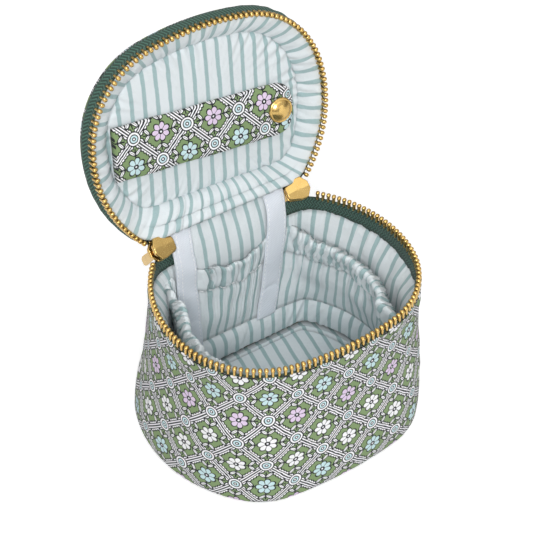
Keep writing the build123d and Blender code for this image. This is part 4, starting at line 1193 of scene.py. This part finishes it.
def make_pocket(side, name, folds, frills, seed, columns):
    """A gathered pocket: flat at its foot seam, bagging above it, with a ruffled casing folded over its elastic.

    side is 1 at the right, -1 at the left and 0 at the back. Its distance in from the wall is a
    sum of a lean, a bag and a sag as half sine waves of its height, folds below the casing and a
    ruffle on it, all of them weaker towards its sewn ends.
    """
    top = POCKET_FOOT + size("pocket_height")
    casing = top - CASING
    t = np.linspace(0, 1, columns)[None]
    bend = np.linspace(0, np.pi, 10)
    height = np.concatenate([
        steps((POCKET_FOOT - 1.0, casing - 2, 38), (casing - 2, top - POCKET_LIP, 32))[:-1],
        top - POCKET_LIP + POCKET_LIP * np.sin(bend),
        [top - 3.5, top - 6.0],
    ])[:, None]
    behind = np.concatenate([np.zeros(68), POCKET_LIP * (1 - np.cos(bend)), [2 * POCKET_LIP + 0.2] * 2])[:, None]
    share = np.clip((height - POCKET_FOOT) / size("pocket_height"), 0, 1)
    total = half_length(rim_shape(), WALL_INSET + 3)
    start, stop = pocket_ends(side, height, total)
    run_share = start + (stop - start) * t
    span = float(np.abs(stop - start).mean()) * total
    run = t * span
    from_end = np.maximum(np.minimum(t, 1 - t) * span - 3.0, 0)
    opened = np.sin(np.pi / 2 * np.clip(from_end / 14.0, 0, 1)) * (0.62 if side == 0 else 1.0)
    strength = 0.12 + 0.88 * ease(from_end, 0.0, 4.5)
    in_casing = ease(height, casing - 0.8, casing + 2.5)
    drawn = bell(height, casing, 1.1)
    ruffle = gathers(t + 0.006 * wander(height, seed + 6, 14), seed + 5, frills)
    fold = 0.62 * gathers(t, seed, folds) * share**0.7
    fold = fold + 0.3 * gathers(t, seed + 5, frills) * ease(height, casing - 9, casing)
    fold = fold * (1 - in_casing) + (1.05 + 0.45 * wander(run, seed + 8, 17)) * ruffle * in_casing
    puff = 1.5 * arch((height - casing) / (CASING + 3.0)) ** 0.8 * in_casing
    sag = 0.9 * ripple(run, height, seed + 2, 22) * opened * np.sin(np.pi * share) ** 0.7
    near_strap = 1.0 if side == 0 else 1 - ease(run, 2.0, 20.0)
    inset = WALL_INSET + (back_face(height) - WALL_INSET) * near_strap + 0.9 - 0.5 * drawn - behind
    inset = inset + (4.6 if side == -1 else 7.0) * share * opened + 2.0 * arch(share / 0.72) * opened + sag
    inset = inset + (fold * (1 - 0.4 * drawn) + puff * (0.3 + 0.7 * opened)) * strength
    past_middle = run_share > 1
    x, y = outline(rim_shape(), inset, np.where(past_middle, 2 - run_share, run_share))[:2]
    x = np.where(past_middle, -x, x) * (-1 if side == -1 else 1)
    uneven = (0.45 * wander(run, seed + 7, 9.0) + 0.55 * ruffle * ease(height, top - 6, top)) * strength
    droop = (3.4 if side == 0 else 1.4) * opened * arch(t * 1.15) ** 1.5
    points = tub_points(x, y, height + (uneven - droop) * ease(height, casing - 16, casing))
    u = run * FULLNESS + 0.8 * ripple(run, height, seed + 3, 26) * np.sin(np.pi * share)
    # painted shade: darker along the casing's seam, at the foot seam, in the fold valleys and behind the lip
    seam = drawn + (1 - ease(height, POCKET_FOOT, POCKET_FOOT + 2))
    seam = np.clip(seam + 0.8 * ease(-fold, 0.1, 0.7) + (behind > POCKET_LIP), 0, 1)
    flip = None if side == -1 else 1
    cloth = surface(name + "_cloth", points, u, height + 1.4 * behind, seam, flip=flip)
    thicken(cloth, POCKET_CLOTH)
    ticking(cloth, "tub", name, name + "_elastic")
    path = points[int(np.argmin(np.abs(height[:60] - casing)))]
    path = path if flip is None else path[::-1]
    inner = unit(np.cross(np.gradient(path, axis=0), np.array([0, 0, 1.0])))
    inner *= np.sign(((np.array([0.0, hinge()[1] + MIDDLE_Y, 0]) - path) * inner).sum(1, keepdims=True))
    seam_stitches = stitches(name + "_stitches", path + inner * 0.05, inner, POCKET_THREAD, "tub")
    (size("pocket_height") + 6) * MM


def make_pockets():
    make_pocket(1, "right_pocket", 11, 33, 101, 590)
    make_pocket(-1, "left_pocket", 11, 33, 201, 590)
    make_pocket(0, "back_pocket", 4.3, 9.3, 301, 400)


# Cloth over the hinge


def binding_middle(side, height):
    """Where the middle of a binding lies along the back at a height, as x."""
    foot, top = BINDING_ENDS[side]
    return foot + (top - foot) * (height - POCKET_FOOT) / (BINDING_TOP - POCKET_FOOT)


def hinge_path(count, front, over):
    """Taut cloth up the tub's back and over to the lid: a line, then an eased corner.

    Gives y and z, the run along them and the direction in which the cloth faces.
    """
    foot = np.array([hinge()[1] - front, POCKET_FOOT - 1.0])
    turn = np.array([hinge()[1] - front + BACK_LEAN, BACK_TURN])
    corner = np.array([hinge()[1] - front + 5.4, 78.0])
    bend = curve(turn, corner, lid_points(0.0, -over[0], over[1])[1:], 400)
    line = np.concatenate([(foot + (turn - foot) * np.linspace(0, 1, 400)[:, None])[:-1], bend])
    run = run_along(line)
    wanted = np.linspace(0, run[-1], count)
    path = between(wanted, run, line)
    heading = unit(np.gradient(path, axis=0))
    return path, wanted, np.stack([-heading[:, 1], heading[:, 0]], -1)


def off_path(x, path, facing, out):
    """Row-frame points at x, a distance out from a path of y and z."""
    y, z = (path[:, k : k + 1] + facing[:, k : k + 1] * out for k in (0, 1))
    return np.stack(np.broadcast_arrays(x, y, z), -1)


def make_bindings():
    """Woven tapes over the back seams: flat strips with folded, stitched edges."""
    path, length_run, facing = hinge_path(110, BACK_INSET + 2.4, (10.5, 4.2))
    run, end = length_run[:, None], float(length_run[-1])
    across = np.linspace(-1, 1, 33)[None]
    width = across * (size("binding_width") / 2 - 0.2)
    normals = np.concatenate([np.zeros_like(run), facing], 1)
    for side, name, shift, edges in (
        (-1, "left", 2.4, (-BINDING_STITCH, -0.45, BINDING_STITCH)),
        (1, "right", 1.2, (-BINDING_STITCH, BINDING_STITCH)),
    ):
        middle = binding_middle(side, np.minimum(path[:, 1:], BINDING_TOP))
        middle = middle + shift * ease(run, end * 0.72, end) + 0.2 * wander(run, 71 + side, 38)
        out = 0.3 * (1 - across**6) + 0.22 * ripple(across * 5, run, 72 + side, 17)
        out = out - 0.16 * bell(np.abs(across), BINDING_STITCH, 0.05) - 0.3 * bell(run + 2.2 * across**2, 17, 0.9)
        points = off_path(middle + width * (1 + 0.015 * wander(run, 74 + side, 16)), path, facing, out)
        # painted shade: darker along the stitch lines and at the binding's foot
        seam = np.clip(0.6 * bell(np.abs(across), BINDING_STITCH, 0.04) + 1 - ease(run, 0.0, 1.5), 0, 1)
        strip = surface(name + "_binding_tape", points, width, run, seam)
        thicken(strip, BINDING_CLOTH)
        dress(strip, "woven binding", binding_material, None, name + "_binding", slot="white_binding")
        for number, edge in enumerate(edges):
            line = points[:, int(np.argmin(np.abs(across[0] - edge)))] + normals * 0.02
            row = stitches(f"{name}_binding_stitches_{number}", line, normals, BINDING_THREAD, None)
            blend_over_hinge(row)
        blend_over_hinge(strip)
        flat = (size("binding_width") * MM, end * MM)


def make_back_lining():
    """The back's lining: taut, up behind the pocket and over the hinge, to its seam under the lid's roll."""
    path, length_run, facing = hinge_path(130, BACK_INSET, (12.0, 5.0))
    run, end = length_run[:, None], length_run[-1]
    across = np.linspace(-1, 1, 161)[None]
    left, right = (binding_middle(side, np.minimum(path[:, 1:], BINDING_TOP)) for side in (-1, 1))
    late = ease(run, end - 16, end - 8)
    x = left + (right - left) * (across + 1) / 2 + across * 2.4 * late
    out = 0.9 * (1 - across**4) * arch(run / end) ** 0.6
    out = out + 0.3 * ripple(x, 0.5 * run, 82, 15) + 0.3 * wander(x + 0.2 * run, 81, 7.0) * late
    # painted shade: darker at the seam under the lid's roll and at the sides under the bindings
    seam = 1 - ease(end - run, 2.0, 6.5) + 0.5 * (1 - ease(1 - np.abs(across), 0.0, 0.3))
    lining = surface("back_lining_cloth", off_path(x, path, facing, out), x, run, np.clip(seam, 0, 1))
    thicken(lining, LINING_CLOTH)
    ticking(lining, None, "back_lining", "lid_back_lining")
    blend_over_hinge(lining)


# Lid


def pad_edge(share, drawn):
    """The lid pad's seam, drawn in: a D of its own, set back from the hinge and a little askew there.

    share is a run share of the rim. The pad's place is the one at the same angle about the
    middle of the lid, so that the side lining's stripes run straight in to it.
    """
    rim = rim_shape()
    width, depth = rim[0] - 2 * PAD_INSET, rim[1] - PAD_INSET - PAD_BACK
    radii = [radius - PAD_INSET for radius in rim[3:6]]
    shape = (width, depth, PAD_BACK_R, *radii, rim[6] - PAD_BACK, -PAD_BACK)
    every = np.linspace(-1, 1, 4001)

    def angles(edge):
        x, y = outline(edge, 0.0, every)[:2]
        turned = np.unwrap(np.arctan2(x, MIDDLE_Y - y))
        return turned - turned[len(every) // 2]

    wanted = np.interp(np.interp(share, every, angles(rim)), angles(shape), every)
    x, y = outline(shape, drawn, wanted)[:2]
    return x, y + 0.05 * x * ease(y, -38.0, -18.0)


def make_lid_lining():
    """The lid's side lining: a puffed band from the zip to the pad, which along the hinge hangs
    forward as a roll with a narrow sewn edge."""
    split = LID_ROLL_SPLIT
    share = np.linspace(-1, 1, 701)[None]
    run = share * half_length(rim_shape(), 6.0)
    across = np.linspace(0, 1, 34)[:, None]
    at_back = ease(np.abs(share), 0.71, 0.81)
    x0, y0 = outline(rim_shape(), 1.75 + 3.4 * at_back, share)[:2]
    x1, y1 = pad_edge(share, 0.0)
    in_x, in_y = x1 - x0, y1 - y0
    start_depth = LID_LINING_START - 3.6 * at_back
    depth = start_depth + (LID_RECESS + 0.7 - start_depth) * across
    puffed = arch(across)
    at_zip = (1.45 + 0.25 * wander(run, 92, 24)) * puffed**0.75 * (1 - at_back)
    roll, edge = arch((across - split) / (1 - split)) ** 0.7, arch(across / split) ** 0.7
    near_seams = bell(across, 0, 0.3) + bell(1 - across, 0, 0.35) + at_back * bell(across, split, 0.12)
    out = at_zip + at_back * (2.5 * roll + 1.1 * edge)
    out = out + 0.5 * wander(run + 3.0 * across, 91, 5.4) * near_seams * puffed**0.5
    out = out + 0.25 * ripple(run, 12 * across, 93, 13) * puffed**0.75
    inward = out * 0.6 / np.hypot(in_x, in_y)
    points = lid_points(x0 + in_x * (across + inward), y0 + in_y * (across + inward), depth - out * 0.8)
    # painted shade: darker at the pad's seam, at the zip edge and along the roll's sewn edge
    seam = 1 - ease(1 - across, 0.0, 0.1) + 0.5 * (1 - ease(across, 0.0, 0.08))
    seam = np.clip(seam + 0.8 * at_back * bell(across, split, 0.04), 0, 1)
    band = surface("lid_side_lining_cloth", points, run + 2.5 * across * at_back, across * 12, seam, True)
    thicken(band, LINING_CLOTH)
    ticking(band, "lid", "lid_lining", "lid_side_foam")


def make_lid_pad():
    """The lid's pad: a crowned cushion inside its seam, with puckers that run in from the seam."""
    ring = np.linspace(-1, 1, 521)[None]
    edge_x, edge_y = pad_edge(ring, -0.5)
    run = ring * half_length(rim_shape(), 10)
    inward = np.concatenate([1 - 0.34 * np.linspace(0, 1, 40) ** 1.4, np.linspace(0.63, 0.0, 26)])[:, None]
    x, y = edge_x * inward, PAD_MIDDLE_Y + (edge_y - PAD_MIDDLE_Y) * inward
    from_seam = (1 - inward) * 40
    rise = 2.3 * (1 - np.exp(-from_seam / 1.6)) + 0.5 * ease(from_seam, 2, 26)
    puckers = 0.6 * wander(run, 95, 6.5) * np.exp(-from_seam / 5.0) * ease(from_seam, 0.0, 1.2)
    folds = 0.24 * ripple(x, y * 0.5, 96, 20) * ease(from_seam, 1, 7)
    points = lid_points(x, y, LID_RECESS + 1.0 - rise - puckers - folds)
    u, v = rotated(x, y, -BAR_TILT)
    # painted shade: the cushion is darker along its seam
    pad = surface("lid_cushion", points, u, v, 1 - ease(from_seam, 0.1, 1.6), True, (False, True))
    ticking(pad, "lid", "lid_pad", "lid_foam")


def make_ring_bar():
    """The ring bar: a stuffed strap whose section is a flattened oval, thinner at its folded edges."""
    end_turn = np.linspace(0, np.pi / 2, 22)
    straight = BAR_LENGTH - BAR_END_R
    along = np.concatenate([np.linspace(0.0, straight, 60)[:-1], straight + BAR_END_R * np.sin(end_turn)])[:, None]
    half = np.concatenate([np.full(59, BAR_WIDTH / 2), BAR_WIDTH / 2 - BAR_END_R * (1 - np.cos(end_turn))])[:, None]
    half = half - 0.25 + 0.15 * wander(along, 97, 30)
    angle = np.linspace(0, 2 * np.pi, 73)[None]
    cosine, sine = np.cos(angle), np.sin(angle)
    y = half * np.sign(cosine) * np.abs(cosine) ** 0.42
    x = along + 0.0 * y
    end = 1 - 0.55 * ease(along, BAR_LENGTH - 4.0, BAR_LENGTH)
    face = np.abs(sine) ** 0.62 * np.where(sine > 0, BAR_THICKNESS * 0.56, BAR_THICKNESS * 0.42) * np.sign(sine)
    near_snap = np.exp(-((np.hypot(x - (BAR_LENGTH - SNAP_FROM_END), y) / 7.5) ** 4))
    out = BAR_THICKNESS * 0.44 + face * end
    out = out + 0.2 * ripple(x, y, 98, 18) * (sine > 0.2) - 0.45 * near_snap * (sine > 0)
    x = np.concatenate([x[:1], x, x[-1:] - 0.15])
    y = np.concatenate([y[:1] * 0, y, y[-1:] * 0])
    out = np.concatenate([out[:1] * 0 + out[0].mean(), out, out[-1:] * 0 + out[-1].mean()])
    # painted shade: darker at the strap's folded side edges
    seam = 1 - ease(np.abs(sine), 0.05, 0.35)
    strap = surface("ring_bar_strap", bar_points(x, y, out), x + 4, y + 6, seam, True, (True, True))
    print_cloth(strap, "ring_bar_flap", "ring_bar", "ring_bar_core")


def make_snap():
    """The snap's cap: a dome with a rolled rim, turned about its middle."""
    profile = np.array([
        (0.0, 2.4), (1.2, 2.34), (2.2, 2.16), (3.1, 1.84), (3.9, 1.38), (4.5, 0.86), (4.75, 0.66),
        (5.0, 0.74), (5.35, 0.7), (5.65, 0.45), (5.75, 0.05), (5.6, -0.3), (5.0, -0.45), (0.0, -0.45),
    ])
    last = len(profile) - 1
    radius, rise = between(np.linspace(0, last, 53), np.arange(last + 1), profile).T[..., None]
    angle = np.linspace(0, 2 * np.pi, 65)[None]
    x, y = radius * np.cos(angle), radius * np.sin(angle)
    points = bar_points(BAR_LENGTH - SNAP_FROM_END + x, y, BAR_THICKNESS + rise)
    cap = surface("snap_cap_dome", points, x, y, wrap=True, poles=(True, True))
    metal(cap, "ring_bar_flap", "snap_cap")


def finish_hidden():
    """Finishes for what stays inside: the board, and the metal parts behind the snap."""
    nodes = frame["nodes"]
    for name in ("snap_socket", "snap_stud", "snap_stud_back"):
        coat(nodes[name], "yellow metal", metal_material)
    coat(nodes["bottom_board"], "grey board", board_material)


# Stage


def rays(tree, *kinds):
    """1 for light paths of the given kinds and 0 for the others."""
    path = shader_node(tree, "LightPath", {})
    first, *others = (Value(tree, path.outputs[f"Is {kind} Ray"]) for kind in kinds)
    for other in others:
        first = first.most(other)
    return first


def make_floor_of_stage():
    """A pale floor: white to the camera and in reflections, and plain to the light it passes on."""
    x, y = np.meshgrid(*[np.array([-2.5, 2.5]) / MM] * 2)
    ground = surface("stage_floor", np.stack([x, y, 0 * x - 0.05], -1), x, y)
    plain = bpy.data.materials.new("pale floor")
    plain.use_nodes = True
    tree, white = plain.node_tree, (1.0, 1.0, 1.0)
    seen = rays(tree, "Camera", "Glossy")
    dimmed = tuple(0.6 * part for part in colours().floor)
    mix = shader_node(tree, "Mix", {0: seen, 6: dimmed, 7: white}, data_type="RGBA")
    inputs = {"Emission Color": white, "Emission Strength": seen * 0.3, "Base Color": Value(tree, mix.outputs[2])}
    feed(tree, tree.nodes["Principled BSDF"], {"Roughness": 0.9, **inputs})
    ground.data.materials.append(plain)


def make_surround():
    """A white surround for the camera, a level one for cloth, and one that varies for metal."""
    world = bpy.data.worlds.new("soft surround")
    bpy.context.scene.world = world
    world.use_nodes = True
    tree = world.node_tree
    generated = Value(tree, shader_node(tree, "TexCoord", {}).outputs["Generated"])
    parts = shader_node(tree, "SeparateXYZ", {0: generated})
    height, across = Value(tree, parts.outputs["Z"]), Value(tree, parts.outputs["X"])
    shine = (1 - height.below(0.35, 0.3)) * 0.7 + across.below(-0.35, 0.25) * 0.3 + 0.2
    level = AROUND_LIGHT + (shine - AROUND_LIGHT) * rays(tree, "Glossy")
    strength = level + (1 - level) * rays(tree, "Camera", "Transmission")
    feed(tree, tree.nodes["Background"], {"Color": (1.0, 1.0, 1.0), "Strength": strength})


def make_stage():
    """A pale floor, a soft white surround, three lamps and the camera."""
    make_floor_of_stage()
    make_surround()
    for name, place, power, spread in (
        ("key", (-0.6, -0.85, 0.95), 11.2, 0.55),
        ("front", (0.45, -1.2, 0.35), 2.6, 0.9),
        ("top", (0.05, 0.0, 1.3), 5.2, 1.5),
    ):
        lamp = bpy.data.lights.new(name, "AREA")
        lamp.energy, lamp.size, lamp.shape = power, spread, "DISK"
        obj = placed(name, lamp)
        obj.location = place
        obj.rotation_euler = (Vector((0, 0, 0.08)) - Vector(place)).to_track_quat("-Z", "Y").to_euler()

    camera = bpy.data.cameras.new("camera")
    camera.sensor_width, camera.lens = 36.0, 101.98
    camera.clip_start, camera.clip_end = 0.01, 20
    obj = placed("camera", camera)
    azimuth, elevation = math.radians(-33.23), math.radians(43.25)
    level = math.cos(elevation)
    back_to = Vector((math.sin(azimuth) * level, -math.cos(azimuth) * level, math.sin(elevation)))
    obj.location = Vector((-0.00365, 0.01002, 0.07975)) + back_to * 0.62868
    obj.rotation_euler = (-back_to).to_track_quat("-Z", "Y").to_euler()
    scene = bpy.context.scene
    scene.camera = obj
    scene.view_settings.view_transform = "Standard"


# Operators


def operator(identifier, label, words, *makers):
    """An operator class that runs makers in order."""

    def execute(self, context):
        for maker in makers:
            maker()
        return {"FINISHED"}

    return type("CASE_OT_" + identifier, (bpy.types.Operator,), {
        "bl_idname": "case." + identifier, "bl_label": label, "__doc__": words, "execute": execute,
    })


OPERATORS = [
    operator(
        "outer_cloth", "Outer Cloth", "Makes the printed cloth of the tub and its back.",
        make_outer_wall, make_outer_back,
    ),
    operator("lid_outer", "Lid Outer Cloth", "Makes the printed cloth of the lid.", make_lid_outer),
    operator("zip", "Zip", "Makes the zip's tapes and teeth.", make_tapes, make_teeth),
    operator("sliders", "Sliders", "Makes both sliders and their pulls.", make_sliders),
    operator(
        "lining", "Tub Lining", "Makes the padded walls, roll and floor.",
        make_wall_lining, make_foot_roll, make_floor,
    ),
    operator(
        "hinge_cloth", "Hinge Lining", "Makes the lining and bindings over the hinge.",
        make_back_lining, make_bindings,
    ),
    operator("pockets", "Pockets", "Makes the gathered pockets.", make_pockets),
    operator("lid_lining", "Lid Lining", "Makes the lid's side lining and pad.", make_lid_lining, make_lid_pad),
    operator("ring_bar", "Ring Bar", "Makes the ring bar and its snap.", make_ring_bar, make_snap),
    operator("hidden", "Hidden Parts", "Finishes the board and the snap's inner parts.", finish_hidden),
    operator("stage", "Stage", "Makes the floor, the light and the camera.", make_stage),
]


class CASE_PT_panel(bpy.types.Panel):
    """Lists the case's sizes, colours and pieces."""

    bl_label = "Jewelry Case"
    bl_idname = "CASE_PT_panel"
    bl_space_type = "VIEW_3D"
    bl_region_type = "UI"
    bl_category = "Jewelry Case"

    def draw(self, context):
        for made_class in OPERATORS:
            self.layout.operator(made_class.bl_idname)
        for group in (context.scene.case_sizes, context.scene.case_colours):
            for name in group.__annotations__:
                self.layout.prop(group, name)


CLASSES = [CaseSizes, CaseColours, *OPERATORS, CASE_PT_panel]


def register():
    for made_class in CLASSES:
        bpy.utils.register_class(made_class)
    bpy.types.Scene.case_sizes = PointerProperty(type=CaseSizes)
    bpy.types.Scene.case_colours = PointerProperty(type=CaseColours)


def unregister():
    del bpy.types.Scene.case_sizes
    del bpy.types.Scene.case_colours
    for made_class in reversed(CLASSES):
        bpy.utils.unregister_class(made_class)


def main():
    register()
    for made_class in OPERATORS:
        getattr(bpy.ops.case, made_class.bl_idname.split(".")[1])()


if __name__ == "__main__":
    main()
